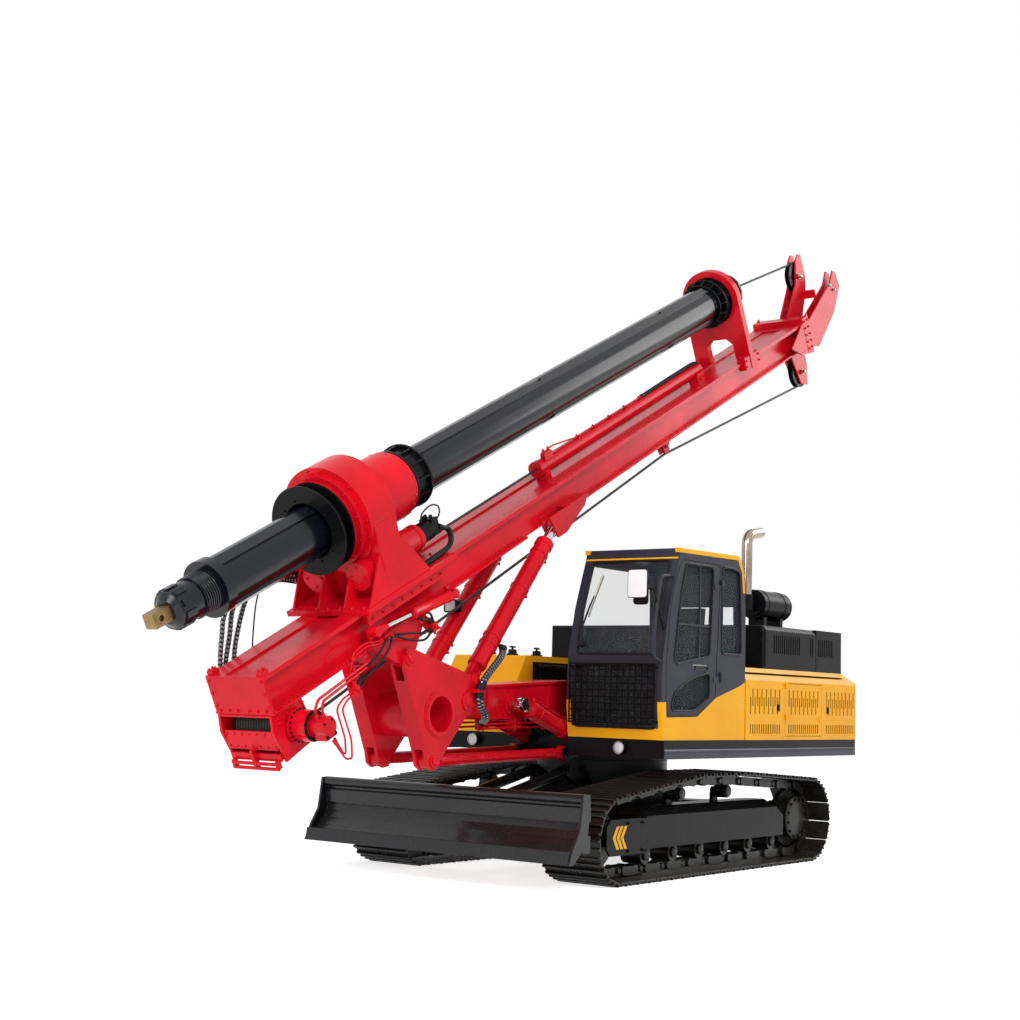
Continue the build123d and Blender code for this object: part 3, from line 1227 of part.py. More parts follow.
# Rotary drive: gearbox, base that runs on the rails, reducers and motors
def drive():
    round_part = bar_x(drive_radius, drive_front + 60, drive_rear, 0, 0)
    round_part += bar_x(drive_boss_radius, drive_front, drive_front + 61, 0, 0)
    round_part += bar_x(drive_boss_radius - 50, drive_front - 26, drive_front + 1, 0, 0)
    lower = wall([(-drive_foot_half, drive_base_top - 1), (drive_foot_half, drive_base_top - 1),
                  (drive_foot_half, -560), (drive_radius - 4, -80), (-drive_radius + 4, -80),
                  (-drive_foot_half, -560)],
                 drive_front + 90, drive_rear - 20)
    shape = round_part + lower
    for k, w in enumerate((-drive_foot_half, -150, 130, drive_foot_half - 20)):
        shape += plate([(drive_base_front + 60, drive_base_top - 1), (drive_front + 120, drive_base_top - 1),
                        (drive_front + 120, -260), (drive_front + 70, -330)], w, w + 20)
    for w in (-240.0, 240.0):
        shape += bar_x(120.0, drive_front - 30, drive_front + 100, w, -460)
    shape += bar_x(drive_neck_radius, drive_rear - 1, drive_sleeve_rear - 60, 0, 0)
    shape += bar_x(drive_neck_radius - 16, drive_sleeve_rear - 61, drive_sleeve_rear, 0, 0)
    base = box(drive_base_front, drive_base_rear, -drive_foot_half - 14, drive_foot_half + 14,
               rail_front + pin_gap, drive_base_top)
    for d in (-1, 1):
        a, b = sorted((d * (rail_half + clearance), d * (rail_half + clearance + 30)))
        base += box(drive_base_front + 80, drive_base_rear - 60, a, b, drive_base_low, rail_front + 5)
        c, e = sorted((d * (rail_half - 60), d * (rail_half + clearance + 30)))
        for s0 in (drive_base_front + 120, drive_base_rear - 320):
            base += box(s0, s0 + 200, c, e, drive_base_low, mast_face - 1 - clearance)
    for w in (-drive_foot_half, drive_foot_half - 18):
        base += plate([(drive_rear - 30, drive_base_top - 1), (drive_rear + 240, drive_base_top - 1),
                       (drive_rear + 60, -360), (drive_rear - 30, -250)], w, w + 18)
    shape += base
    for w in (-motor_y, motor_y):
        shape += bar_x(150.0, drive_rear - 21, drive_rear + 60, w, motor_t)
        cone = Pos(drive_rear + 59 + 140, w, motor_t) * Rot(0, 90, 0) * Cone(132, 108, 280)
        shape += cone
        shape += bar_x(114.0, drive_rear + 330, drive_rear + 380, w, motor_t)
    # lugs that hold the crowd cylinder's rod
    for w in (-46.0, 30.0):
        shape += plate([(drive_base_rear - 200, drive_base_top - 1),
                        (drive_base_rear - 4, drive_base_top - 1),
                        (drive_base_rear + 60, crowd_t - 30), (drive_base_rear + 60, crowd_t + 36),
                        (drive_base_rear - 40, crowd_t + 44)], w, w + 16)
    shape -= bar_x(sleeve_radius + pin_gap, drive_front - 60, drive_sleeve_rear + 5, 0, 0)
    return shape


drive_shape = drive()
keep("rotary_drive", on_mast(drive_shape))
motors = None
for w in (-motor_y, motor_y):
    one = bar_x(88.0, drive_rear + 380.5, drive_rear + 560, w, motor_t)
    one += box(drive_rear + 560, drive_rear + 640, w - 70, w + 70, motor_t - 60, motor_t + 85)
    motors = one if motors is None else motors + one
keep("drive_motors", on_mast(motors))

# Sleeve that turns the drill bar, with its spoked flange, and the round shield in front
sleeve = bar_x(sleeve_radius, drive_front - 60, drive_sleeve_rear + 60, 0, 0)
sleeve += bar_x(shield_radius, drive_front - 60, drive_front - 40, 0, 0)
sleeve += bar_x(shield_radius + 8, drive_front - 56, drive_front - 48, 0, 0)
sleeve += bar_x(flange_radius, drive_sleeve_rear + 12, drive_sleeve_rear + 34, 0, 0)
sleeve += bar_x(flange_radius, drive_sleeve_rear + 200, drive_sleeve_rear + 222, 0, 0)
sleeve += bar_x(sleeve_radius, drive_sleeve_rear + 30, drive_sleeve_rear + 210, 0, 0)
for k in range(12):
    a = 30 * k
    fin = box(drive_sleeve_rear + 30, drive_sleeve_rear + 204, -8, 8, sleeve_radius - 10, flange_radius - 6)
    sleeve += Rot(a, 0, 0) * fin
sleeve -= bar_x(sleeve_bore, drive_front - 100, drive_sleeve_rear + 300, 0, 0)
keep("drive_sleeve", on_mast(sleeve))


# Guide frame near the top: ring plate on two legs with shoes on the rails, and the bearing ring
def guide():
    r, foot = guide_radius, guide_foot_half
    shape = bar_x(r, guide_s, guide_s + guide_plate, 0, 0)
    shape += wall([(-r + 2, 10), (r - 2, 10), (foot, -640), (foot, mast_face - 70), (-foot, mast_face - 70),
                   (-foot, -640)],
                  guide_s, guide_s + guide_plate)
    window = [(-guide_window_half, rail_front + 20), (guide_window_half, rail_front + 20),
              (guide_window_half, -520), (guide_window_half - 70, -450), (-guide_window_half + 70, -450),
              (-guide_window_half, -520)]
    shape -= wall(window, guide_s - 1, guide_s + guide_plate + 1)
    rail = box(guide_s - 1, guide_s + guide_plate + 1, -rail_half - clearance, rail_half + clearance,
               mast_face - 1 - clearance, rail_front + clearance)
    web = box(guide_s - 1, guide_s + guide_plate + 1, -mast_half - 20, mast_half + 20, mast_face - 80,
              mast_face)
    middle = box(guide_s - 1, guide_s + guide_plate + 1, -guide_window_half, guide_window_half,
                 rail_front - 1, -600)
    shape -= rail + web + middle
    for d in (-1, 1):
        a, b = sorted((d * (rail_half + clearance), d * (rail_half + clearance + 34)))
        shape += box(guide_s - 130, guide_s + 230, a, b, mast_face - 60, rail_front + 40)
        c, e = sorted((d * (rail_half - 55), d * (rail_half + clearance + 34)))
        shape += box(guide_s - 130, guide_s + 230, c, e, mast_face - 60, mast_face - 1 - clearance)
        shape += box(guide_s - 130, guide_s + 230, c, e, rail_front + pin_gap, rail_front + 40)
    shape -= bar_x(flange_radius - 20, guide_s - 1, guide_s + guide_plate + 1, 0, 0)
    return shape


keep("guide_frame", on_mast(guide()))
bearing_out = flange_radius - 20
ring = bar_x(bearing_out, guide_s + 2, guide_s + guide_plate, 0, 0)
ring += bar_x(bearing_out + 14, guide_s - 122, guide_s - 106, 0, 0)
ring += bar_x(bearing_out + 14, guide_s - 18, guide_s - 2, 0, 0)
ring += bar_x(bearing_out - 14, guide_s - 110, guide_s + 4, 0, 0)
for k in range(14):
    fin = box(guide_s - 108, guide_s - 16, -7, 7, bearing_out - 24, bearing_out + 12)
    ring += Rot(360 * k / 14, 0, 0) * fin
ring -= bar_x(bar_radius + bar_rib_height + clearance, guide_s - 200, guide_s + 200, 0, 0)
keep("bearing_ring", on_mast(ring))


# Drill bar: outer bar with drive ribs, inner bar with spring, head and stub
def drill_bar():
    shape = bar_x(bar_radius, bar_low, bar_high - 60, 0, 0)
    for k in range(3):
        rib = box(bar_low + 6, bar_high - 200, -bar_rib_width / 2, bar_rib_width / 2, bar_radius - 12,
                  bar_radius + bar_rib_height)
        for s in (1900.0, 4300.0, 6700.0):
            rib -= box(s, s + 220, 10, bar_rib_width, bar_radius - 1, bar_radius + bar_rib_height + 1)
        shape += Rot(30 + 120 * k, 0, 0) * rib
    shape += bar_x(bar_radius + bar_rib_height, bar_high - 61, bar_high - 30, 0, 0)
    shape += bar_x(bearing_out - 12, guide_s + guide_plate, guide_s + guide_plate + 30, 0, 0)
    shape -= bar_x(bar_bore, bar_low - 1, bar_high, 0, 0)
    return shape


keep("drill_bar_outer", on_mast(drill_bar()))
inner_shape = bar_x(inner_radius, bar_low - 60, inner_high, 0, 0)
inner_shape += bar_x(end_ring_radius, bar_low - 92, bar_low, 0, 0)
low, high = bar_low - 92 - spring_length, bar_low - 92
inner_shape += bar_x(spring_core, low - 1, high + 1, 0, 0)
inner_shape += bar_x(head_radius, head_low, low, 0, 0)
for k in range(10):
    tooth = box(head_low + 20, head_low + 120, -26, 26, head_radius - 10, head_radius + 12)
    inner_shape += Rot(36 * k, 0, 0) * tooth
inner_shape += Pos(head_low - 18, 0, 0) * Rot(0, 90, 0) * Cone(96, head_radius - 10, 36)
keep("drill_bar_inner", on_mast(inner_shape))
# The spring: a wound wire between two flat end rings
coil = bar_x(spring_radius, low, low + 8, 0, 0) + bar_x(spring_radius, high - 8, high, 0, 0)
coil -= bar_x(spring_core + 4, low - 1, high + 1, 0, 0)
wound = spring_length - 2 * spring_wire - 4
wire_path = Helix(wound / spring_turns, wound, spring_radius - spring_wire)
wire = sweep(Plane(origin=wire_path @ 0, z_dir=wire_path % 0) * Circle(spring_wire), path=wire_path,
             is_frenet=True)
coil += Pos(low + spring_wire + 2, 0, 0) * Rot(0, 90, 0) * wire
keep("bar_spring", on_mast(coil))
stub = box(stub_low, head_low - 36, -stub_side / 2, stub_side / 2, -stub_side / 2, stub_side / 2)
stub -= bar_y(stub_bore_radius, -100, 100, stub_low + 70, 0)
keep("bar_stub", on_mast(stub))
swivel = bar_x(60.0, inner_high, inner_high + 90, 0, 0) + bar_x(34.0, inner_high + 89, inner_high + 200, 0, 0)
keep("rope_swivel", on_mast(swivel))

# Crowd cylinder along the mast's face
barrel = bar_x(crowd_radius, crowd_gland, crowd_end, 0, crowd_t)
barrel += bar_x(crowd_radius + 8, crowd_gland - 1, crowd_gland + 70, 0, crowd_t)
barrel += box(crowd_end - 120, crowd_end + 40, -60, 60, rail_front - 15.5, crowd_t)
barrel += box(crowd_gland + 60, crowd_gland + 150, -60, 60, rail_front - 15.5, crowd_t)
barrel -= bar_x(crowd_rod_radius + pin_gap, crowd_gland - 5, crowd_end - 60, 0, crowd_t)
keep("crowd_barrel", on_mast(barrel))
rod = bar_x(crowd_rod_radius, drive_base_rear + 68, drive_base_rear + 3260, 0, crowd_t)
rod += box(drive_base_rear - 20, drive_base_rear + 70, -30, 30, crowd_t - 30, crowd_t + 30)
keep("crowd_rod", on_mast(rod))

for name, shape in nodes.items():
    export_step(Pos(-slew_back, 0, 0) * shape, f"parts/{name}.step")
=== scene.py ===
"""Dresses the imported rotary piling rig: finishes for its solids and the detailed pieces that ride on them.

Sizes are millimetres. placed() reads them about the slewing axis (X forward, Y left, Z up) and on_mast() in the
mast's own frame (s up the mast, w right, t out of its face); both give metres in the model's frame.
"""
import json
import math

import bmesh
import bpy
import numpy as np
from mathutils import Matrix


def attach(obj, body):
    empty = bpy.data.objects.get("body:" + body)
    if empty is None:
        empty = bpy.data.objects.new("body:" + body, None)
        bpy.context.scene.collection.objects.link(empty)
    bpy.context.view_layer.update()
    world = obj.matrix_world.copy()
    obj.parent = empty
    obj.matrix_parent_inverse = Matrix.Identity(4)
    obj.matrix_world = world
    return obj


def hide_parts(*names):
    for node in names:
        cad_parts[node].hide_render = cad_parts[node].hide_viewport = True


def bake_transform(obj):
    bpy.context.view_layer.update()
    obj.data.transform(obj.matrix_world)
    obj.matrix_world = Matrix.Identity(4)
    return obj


bl_info = {
    "name": "Rotary piling rig",
    "version": (1, 0, 0),
    "blender": (4, 5, 0),
    "location": "3D View > Sidebar > Piling rig",
    "description": "Finishes and detailed pieces of a tracked rotary piling rig",
    "category": "Object",
}

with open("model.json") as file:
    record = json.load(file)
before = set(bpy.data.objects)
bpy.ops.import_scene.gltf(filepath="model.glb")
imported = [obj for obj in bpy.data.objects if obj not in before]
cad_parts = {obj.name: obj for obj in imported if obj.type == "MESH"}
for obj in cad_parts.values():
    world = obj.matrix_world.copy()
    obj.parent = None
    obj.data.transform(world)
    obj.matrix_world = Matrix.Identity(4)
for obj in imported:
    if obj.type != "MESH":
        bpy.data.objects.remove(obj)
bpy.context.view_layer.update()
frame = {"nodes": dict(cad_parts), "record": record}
NODES = frame["nodes"]

SIDES = (1, -1)
SLEW_BACK = 612.03
MAST_TURN = math.radians(27.1)
MAST_FOOT = np.array([5272.7, 0.0, 2327.6])
MAST_AXES = np.array([[-math.cos(MAST_TURN), 0, math.sin(MAST_TURN)], [0, -1, 0],
                      [math.sin(MAST_TURN), 0, math.cos(MAST_TURN)]])


# ---- Shapes: whole arrays of points and faces
def placed(points):
    """Millimetres about the slewing axis to metres in the model's frame."""
    return (np.asarray(points, float) - (SLEW_BACK, 0, 0)) / 1000.0


def on_mast(points):
    """Mast coordinates to the model's frame: foot + s S + w W + t T."""
    return placed(np.asarray(points, float) @ MAST_AXES + MAST_FOOT)


def row(first, last, count):
    """Evenly spaced places from first to last."""
    return np.linspace(first, last, count)


def unit(vectors):
    """Vectors, along the last axis, at length 1."""
    return vectors / np.linalg.norm(vectors, axis=-1, keepdims=True)


def cells(rows, columns, wrap_rows=False, wrap_columns=False):
    """Quads between neighbours of a grid: (i, j), (i, j+1), (i+1, j+1), (i+1, j)."""
    i = np.arange(rows if wrap_rows else rows - 1)[:, None]
    j = np.arange(columns if wrap_columns else columns - 1)[None, :]
    i2, j2 = (i + 1) % rows, (j + 1) % columns
    corners = i * columns + j, i * columns + j2, i2 * columns + j2, i2 * columns + j
    return np.stack(np.broadcast_arrays(*corners), -1).reshape(-1, 4)


def caps(rings, around):
    """The first and the last ring of a grid as two faces."""
    return [np.arange(around)[None, ::-1], (rings - 1) * around + np.arange(around)[None, :]]


def lathe(profile, sides=32, closed=False):
    """(radius, height) pairs turned about Z: (r cos a, r sin a, h); a closed profile has no end faces."""
    r, h = np.array(profile, float).T
    a = np.linspace(0, 2 * np.pi, sides, endpoint=False)
    points = np.stack([np.outer(r, np.cos(a)), np.outer(r, np.sin(a)), np.repeat(h[:, None], sides, 1)], -1)
    faces = [cells(len(r), sides, wrap_rows=closed, wrap_columns=True)]
    return points.reshape(-1, 3), faces + ([] if closed else [end[:, ::-1] for end in caps(len(r), sides)])


def washer(inner, outer, low, high, sides=48):
    """A flat ring about Z with softened rims."""
    c = min(0.2 * (high - low), 3.0)
    outline = [(inner, low), (outer - c, low), (outer, low + c), (outer, high - c), (outer - c, high), (inner, high)]
    return lathe(outline, sides, closed=True)


def carry(path, section, up=(0, 1, 0), closed=False):
    """A flat section carried along a path: path + section.x side + section.y top, side square to way and up."""
    path, section = np.asarray(path, float), np.asarray(section, float)
    way = unit(np.roll(path, -1, 0) - np.roll(path, 1, 0) if closed else np.gradient(path, axis=0))
    side = unit(np.cross(way, np.broadcast_to(np.asarray(up, float), way.shape)))
    top = np.cross(side, way)
    points = path[:, None] + section[None, :, :1] * side[:, None] + section[None, :, 1:] * top[:, None]
    faces = [cells(len(path), len(section), wrap_rows=closed, wrap_columns=True)]
    return points.reshape(-1, 3), faces + ([] if closed else caps(len(path), len(section)))


def tube(path, radius, sides=12, up=(0, 1, 0)):
    """A round tube along a path: the section is (r cos a, r sin a)."""
    a = np.linspace(0, 2 * np.pi, sides, endpoint=False)
    return carry(path, np.stack([radius * np.cos(a), radius * np.sin(a)], -1), up)


def smooth_path(points, count=60):
    """A Catmull-Rom curve through the points, with its ends kept."""
    p = np.asarray(points, float)
    p = np.vstack([2 * p[0] - p[1], p, 2 * p[-1] - p[-2]])
    u = np.linspace(0, len(p) - 3 - 1e-9, count)
    k, f = u.astype(int), (u % 1)[:, None]
    a, b, c, d = p[k], p[k + 1], p[k + 2], p[k + 3]
    return 0.5 * (2 * b + (c - a) * f + (2 * a - 5 * b + 4 * c - d) * f**2 + (3 * b - a - 3 * c + d) * f**3)


def rounded(outline, corner=40.0, closed=True):
    """A line with rounded corners: each corner becomes (1-u)^2 a + 2u(1-u) p + u^2 b."""
    p = np.asarray(outline, float)
    inner = p if closed else p[1:-1]
    before, after = (np.roll(p, 1, 0), np.roll(p, -1, 0)) if closed else (p[:-2], p[2:])
    u = np.linspace(0, 1, 6)[None, :, None]
    a, b = before - inner, after - inner
    la, lb = (np.linalg.norm(v, axis=1)[:, None] for v in (a, b))
    cut = np.minimum(corner, 0.4 * np.minimum(la, lb))
    start, stop, mid = (v[:, None] for v in (inner + a / la * cut, inner + b / lb * cut, inner))
    bends = ((1 - u) ** 2 * start + 2 * u * (1 - u) * mid + u**2 * stop).reshape(-1, 3)
    return bends if closed else np.vstack([p[:1], bends, p[-1:]])


def hoop(outline, section, up=(0, 1, 0), corner=60.0):
    """A section carried round a closed outline with rounded corners."""
    return carry(rounded(outline, corner), section, up, closed=True)


def flat(outline, y):
    """An outline in X and Z as points on the plane at y."""
    x, z = np.asarray(outline, float).T
    return np.stack([x, np.full(len(x), float(y)), z], -1)


def prism(outline, low, high):
    """An outline in X and Z pulled along Y from low to high."""
    points = np.concatenate([flat(outline, y) for y in (low, high)])
    return points, [cells(2, len(outline), wrap_columns=True)] + caps(2, len(outline))


def block(x0, x1, y0, y1, z0, z1):
    """A block between six planes."""
    return prism([(x0, z0), (x1, z0), (x1, z1), (x0, z1)], y0, y1)


def join(*shapes):
    """Several shapes as one."""
    points, faces, start = [], [], 0
    for p, f in shapes:
        points.append(p)
        faces += [one + start for one in f]
        start += len(p)
    return np.concatenate(points), faces


def facing(direction):
    """Axes whose third row is a direction."""
    z = unit(np.asarray(direction, float))
    x = unit(np.cross((0, 1, 0) if abs(z[1]) < 0.9 else (0, 0, 1), z))
    return np.stack([x, np.cross(z, x), z])


def stamp(shape, origins, axes):
    """Copies of a shape: origin + point . axes, where the rows of axes are the copy's own X, Y and Z."""
    points, faces = shape
    origins = np.atleast_2d(origins)
    axes = np.broadcast_to(axes, (len(origins), 3, 3))
    spread = np.einsum("pi,nij->npj", points, axes) + origins[:, None]
    shift = np.arange(len(origins)) * len(points)
    return spread.reshape(-1, 3), [(f[None] + shift[:, None, None]).reshape(-1, f.shape[1]) for f in faces]


def lay(shape, origin, direction):
    """A shape that stands along Z, moved to an origin with its Z along a direction."""
    return stamp(shape, [origin], facing(direction))


def bolt(width):
    """A hexagonal head on a washer, standing along Z."""
    w = width / 2
    head = lathe([(w, 0.25 * w), (w, 1.35 * w), (0.8 * w, 1.6 * w), (0.01, 1.62 * w)], 6)
    disc = lathe([(1.35 * w, 0), (1.35 * w, 0.27 * w), (0.01, 0.27 * w)], 16)
    return join(head, disc)


def bolts(width, places, direction):
    """Bolt heads at places, all standing along one direction."""
    return stamp(bolt(width), np.asarray(places, float), facing(direction))


def bolt_ring(width, centre, direction, radius, count, first=0.0):
    """Bolt heads round a centre: centre + r (cos a X + sin a Y), X and Y square to the direction."""
    axes = facing(direction)
    a = first + 2 * np.pi * np.arange(count) / count
    places = np.asarray(centre, float) + radius * (np.cos(a)[:, None] * axes[0] + np.sin(a)[:, None] * axes[1])
    return bolts(width, places, direction)


def least_spread(path):
    """The direction in which a path spreads least: the normal of its best plane."""
    return np.linalg.svd(path - path.mean(0))[2][2]


def line_with_nuts(path, radius, sides):
    """A tube along a path, with a crimped ferrule and a hexagon nut at both ends."""
    r = radius
    sleeve = lathe([(1.02 * r, -4.6 * r), (1.28 * r, -4.4 * r), (1.28 * r, -1.4 * r), (1.1 * r, -1.3 * r)], 14)
    nut = lathe([(1.3 * r, -1.4 * r), (1.6 * r, -1.2 * r), (1.6 * r, 0.2 * r), (1.2 * r, 0.4 * r)], 6)
    ends = [lay(shape, end, end - inside) for end, inside in ((path[0], path[1]), (path[-1], path[-2]))
            for shape in (sleeve, nut)]
    return join(tube(path, r, sides, least_spread(path)), *ends)


def pipe(points, radius, corner=50.0):
    """A bent steel pipe through points, with its end nuts."""
    return line_with_nuts(rounded(points, corner, closed=False), radius, 12)


def hose(points, radius, count=40):
    """A hose through points on a Catmull-Rom curve, with its end ferrules."""
    return line_with_nuts(smooth_path(points, count), radius, 14)


def wound(points, radius, pitch=30.0, width=15.0, count=60):
    """A flat strip wound round a hose: path + r (cos a S + sin a T), a = 2 pi run / pitch."""
    path = smooth_path(points, count)
    run = np.concatenate([[0], np.cumsum(np.linalg.norm(np.diff(path, axis=0), axis=1))])
    at = np.linspace(4 * radius, run[-1] - 4 * radius, int((run[-1] - 8 * radius) / pitch * 10))
    centre = np.stack([np.interp(at, run, path[:, k]) for k in range(3)], -1)
    way = unit(np.gradient(centre, axis=0))
    side = unit(np.cross(way, least_spread(path)))
    a = 2 * np.pi * at / pitch
    out = np.cos(a)[:, None] * side + np.sin(a)[:, None] * np.cross(side, way)
    strip = [(-width / 2, 0.0), (width / 2, 0.0), (width / 2 - 1.5, 3.5), (1.5 - width / 2, 3.5)]
    return carry(centre + radius * out, strip, out)


def clip(place, direction, up, length=34.0, width=60.0, tall=30.0):
    """A clamp block across a pipe: a rounded plate with a bolt at both ends, its length along a direction."""
    z = np.asarray(up, float)
    x = np.asarray(direction, float)
    h, w, t = length / 2, width / 2, tall
    body = prism([(-h, 0), (h, 0), (h, t - 5), (h - 5, t), (5 - h, t), (-h, t - 5)], -w, w)
    heads = stamp(bolt(12), [(0, -0.7 * w, t), (0, 0.7 * w, t)], np.eye(3))
    return stamp(join(body, heads), [place], np.stack([x, np.cross(z, x), z]))


# ---- Pieces
FINISH = {}
# material slot of each finish that isn't named like its slot
SLOT_OF = {"hose_rubber": "trim_plastic", "mirror_glass": "trim_plastic", "slot_painted_shade": "yellow_paint",
           "rope_steel": "pin_steel", "plated_steel": "pin_steel", "chrome_rod": "pin_steel", "lens": "pin_steel"}
WELD_M = 1e-5
BEVEL_ANGLE = math.radians(40)


def piece(name, shape, finish, body, slot=None, bevel=0.0, smooth=35, move=placed):
    """Makes one mesh piece from a shape, turns its faces outwards and lets it ride on a body, if one is named."""
    points, faces = shape
    slot = slot or SLOT_OF.get(finish, finish)
    mesh = bpy.data.meshes.new(name)
    mesh.from_pydata(move(points).tolist(), [], [corners for f in faces for corners in f.tolist()])
    work = bmesh.new()
    work.from_mesh(mesh)
    bmesh.ops.remove_doubles(work, verts=work.verts, dist=WELD_M)
    bmesh.ops.recalc_face_normals(work, faces=work.faces)
    work.to_mesh(mesh)
    work.free()
    obj = bpy.data.objects.new(name, mesh)
    bpy.context.collection.objects.link(obj)
    mesh.materials.append(FINISH[finish])
    mesh.shade_smooth()
    mesh.set_sharp_from_angle(angle=math.radians(smooth))
    if bevel:
        rounding = obj.modifiers.new("edge rounding", "BEVEL")
        rounding.width, rounding.segments = bevel / 1000, 2
        rounding.limit_method, rounding.angle_limit = "ANGLE", BEVEL_ANGLE
        rounding.harden_normals = True
    if body:
        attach(obj, body)
    return obj


def mast_piece(name, shape, finish, body, **more):
    """A piece whose shape is given in the mast's frame."""
    return piece(name, shape, finish, body, move=on_mast, **more)


def bridge(name, shapes, finish, first, second, start, end, move=placed, slot=None, smooth=60):
    """A piece that spans one joint, made where it stands and ridden by no body: first, second, start and end are not
    used.
    """
    obj = piece(name, join(*shapes), finish, None, slot, smooth=smooth, move=move)
    tuple(move([start])[0])
    tuple(move([end])[0])
    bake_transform(obj)


# ---- Finishes
def linear(colour):
    """sRGB hex text as linear red, green, blue; a colour chosen in the panel is linear already."""
    if not isinstance(colour, str):
        return tuple(colour)
    parts = [int(colour[i:i + 2], 16) / 255 for i in (1, 3, 5)]
    return tuple(c / 12.92 if c <= 0.04045 else ((c + 0.055) / 1.055) ** 2.4 for c in parts)


def fill(tree, target, inputs):
    """Gives a node's sockets their values, or links them to outputs."""
    for key, value in inputs.items():
        if isinstance(value, bpy.types.NodeSocket):
            tree.links.new(value, target.inputs[key])
        else:
            target.inputs[key].default_value = value


def node(tree, kind, inputs=None, **settings):
    """Adds a node: settings are its own properties, inputs its sockets' values or the outputs linked to them."""
    new = tree.nodes.new(kind)
    for key, value in settings.items():
        setattr(new, key, value)
    fill(tree, new, inputs or {})
    return new


def maths(tree, operation, a, b):
    """One value made of two."""
    return node(tree, "ShaderNodeMath", {0: a, 1: b}, operation=operation).outputs[0]


def noise(tree, place, scale, detail, roughness=0.5):
    """Cloudy noise over the coordinates."""
    inputs = {"Vector": place, "Scale": scale, "Detail": detail, "Roughness": roughness}
    return node(tree, "ShaderNodeTexNoise", inputs).outputs["Fac"]


def remap(tree, value, low, high, to_low=0.0, to_high=1.0):
    """A value's range stretched onto another."""
    inputs = {"Value": value, "From Min": low, "From Max": high, "To Min": to_low, "To Max": to_high}
    return node(tree, "ShaderNodeMapRange", inputs).outputs["Result"]


def blend_over(tree, amount, base, colour):
    """A base colour with another laid over it by an amount."""
    inputs = {"Factor": amount, "A": base, "B": (*linear(colour), 1)}
    return node(tree, "ShaderNodeMix", inputs, data_type="RGBA").outputs["Result"]


def bumped(tree, height, strength, distance, **inputs):
    """A normal bent by a height."""
    inputs = {"Strength": strength, "Distance": distance, "Height": height, **inputs}
    return node(tree, "ShaderNodeBump", inputs).outputs["Normal"]


def ramp(tree, source, stops):
    """A colour ramp over a source, with (place, linear colour) stops."""
    new = node(tree, "ShaderNodeValToRGB", {"Fac": source})
    elements = new.color_ramp.elements
    while len(elements) < len(stops):
        elements.new(0.5)
    for element, (place, colour) in zip(elements, stops):
        element.position = place
        element.color = (*colour, 1)
    return new.outputs["Color"]


def start(name):
    """A new material, its tree, its shader and the object coordinates."""
    material = bpy.data.materials.new(name)
    material.use_nodes = True
    tree = material.node_tree
    return material, tree, tree.nodes["Principled BSDF"], node(tree, "ShaderNodeTexCoord").outputs["Object"]


def coated(name, colour, deep, rough=0.3, coat=0.25, dust=0.0, dust_colour="#8C8072", peel=0.06, edge=3.0, scuff=0.0,
           scuff_colour="#5A5A5C", sheen=0.3):
    """Sprayed paint: clouds of a slightly deeper shade, orange peel, road dust that settles low and on flats."""
    material, tree, shader, place = start(name)
    cloud = noise(tree, place, 1.4, 5.0, 0.6)
    base = ramp(tree, cloud, [(0.36, linear(deep)), (0.62, linear(colour))])
    grit = noise(tree, place, 55.0, 6.0, 0.7)
    if scuff:
        # rubbed streaks along the piece, a few millimetres wide
        stretch = node(tree, "ShaderNodeMapping", {"Vector": place, "Scale": (3.0, 3.0, 40.0)}).outputs["Vector"]
        streak = noise(tree, stretch, 6.0, 8.0, 0.75)
        base = blend_over(tree, remap(tree, streak, 0.56, 0.75, 0.0, scuff), base, scuff_colour)
    if dust:
        # dust lies on faces that look up and thickens towards the ground
        normal = node(tree, "ShaderNodeNewGeometry").outputs["Normal"]
        up, high = (node(tree, "ShaderNodeSeparateXYZ", {"Vector": v}).outputs["Z"] for v in (normal, place))
        low = remap(tree, high, 0.0, 1.3, 1.0, 0.35)
        amount = maths(tree, "MULTIPLY", low, remap(tree, up, -0.2, 1.0, 0.25, 1.0))
        amount = maths(tree, "MULTIPLY", amount, remap(tree, grit, 0.38, 0.7))
        base = blend_over(tree, maths(tree, "MULTIPLY", amount, dust), base, dust_colour)
    rounding = node(tree, "ShaderNodeBevel", {"Radius": edge / 1000}, samples=4).outputs["Normal"]
    fill(tree, shader, {"Base Color": base, "Roughness": remap(tree, cloud, 0.3, 0.7, rough + 0.07, rough - 0.03),
                        "Normal": bumped(tree, grit, peel, 0.0015, Normal=rounding),
                        "Specular IOR Level": sheen, "Coat Weight": coat, "Coat Roughness": 0.08})
    return material


def metal(name, colour, deep, rough=0.3, grain=60.0, strength=0.2):
    """Bare metal: mottled colour and a fine turned or rolled grain in roughness and bump."""
    material, tree, shader, place = start(name)
    base = ramp(tree, noise(tree, place, 3.0, 6.0, 0.65), [(0.35, linear(deep)), (0.65, linear(colour))])
    fine = noise(tree, place, grain, 4.0)
    fill(tree, shader, {"Base Color": base, "Roughness": remap(tree, fine, 0.0, 1.0, rough * 0.7, rough * 1.35),
                        "Normal": bumped(tree, fine, strength, 0.001), "Metallic": 1.0})
    return material


def dull(name, colour, deep, rough=0.55, grain=220.0, strength=0.08):
    """Rubber or moulded plastic: a fine pebble grain and slight fading."""
    material, tree, shader, place = start(name)
    base = ramp(tree, noise(tree, place, 6.0, 4.0), [(0.35, linear(deep)), (0.65, linear(colour))])
    pebble = node(tree, "ShaderNodeTexVoronoi", {"Vector": place, "Scale": grain}).outputs["Distance"]
    fill(tree, shader, {"Base Color": base, "Normal": bumped(tree, pebble, strength, 0.001), "Roughness": rough,
                        "Specular IOR Level": 0.2})
    return material


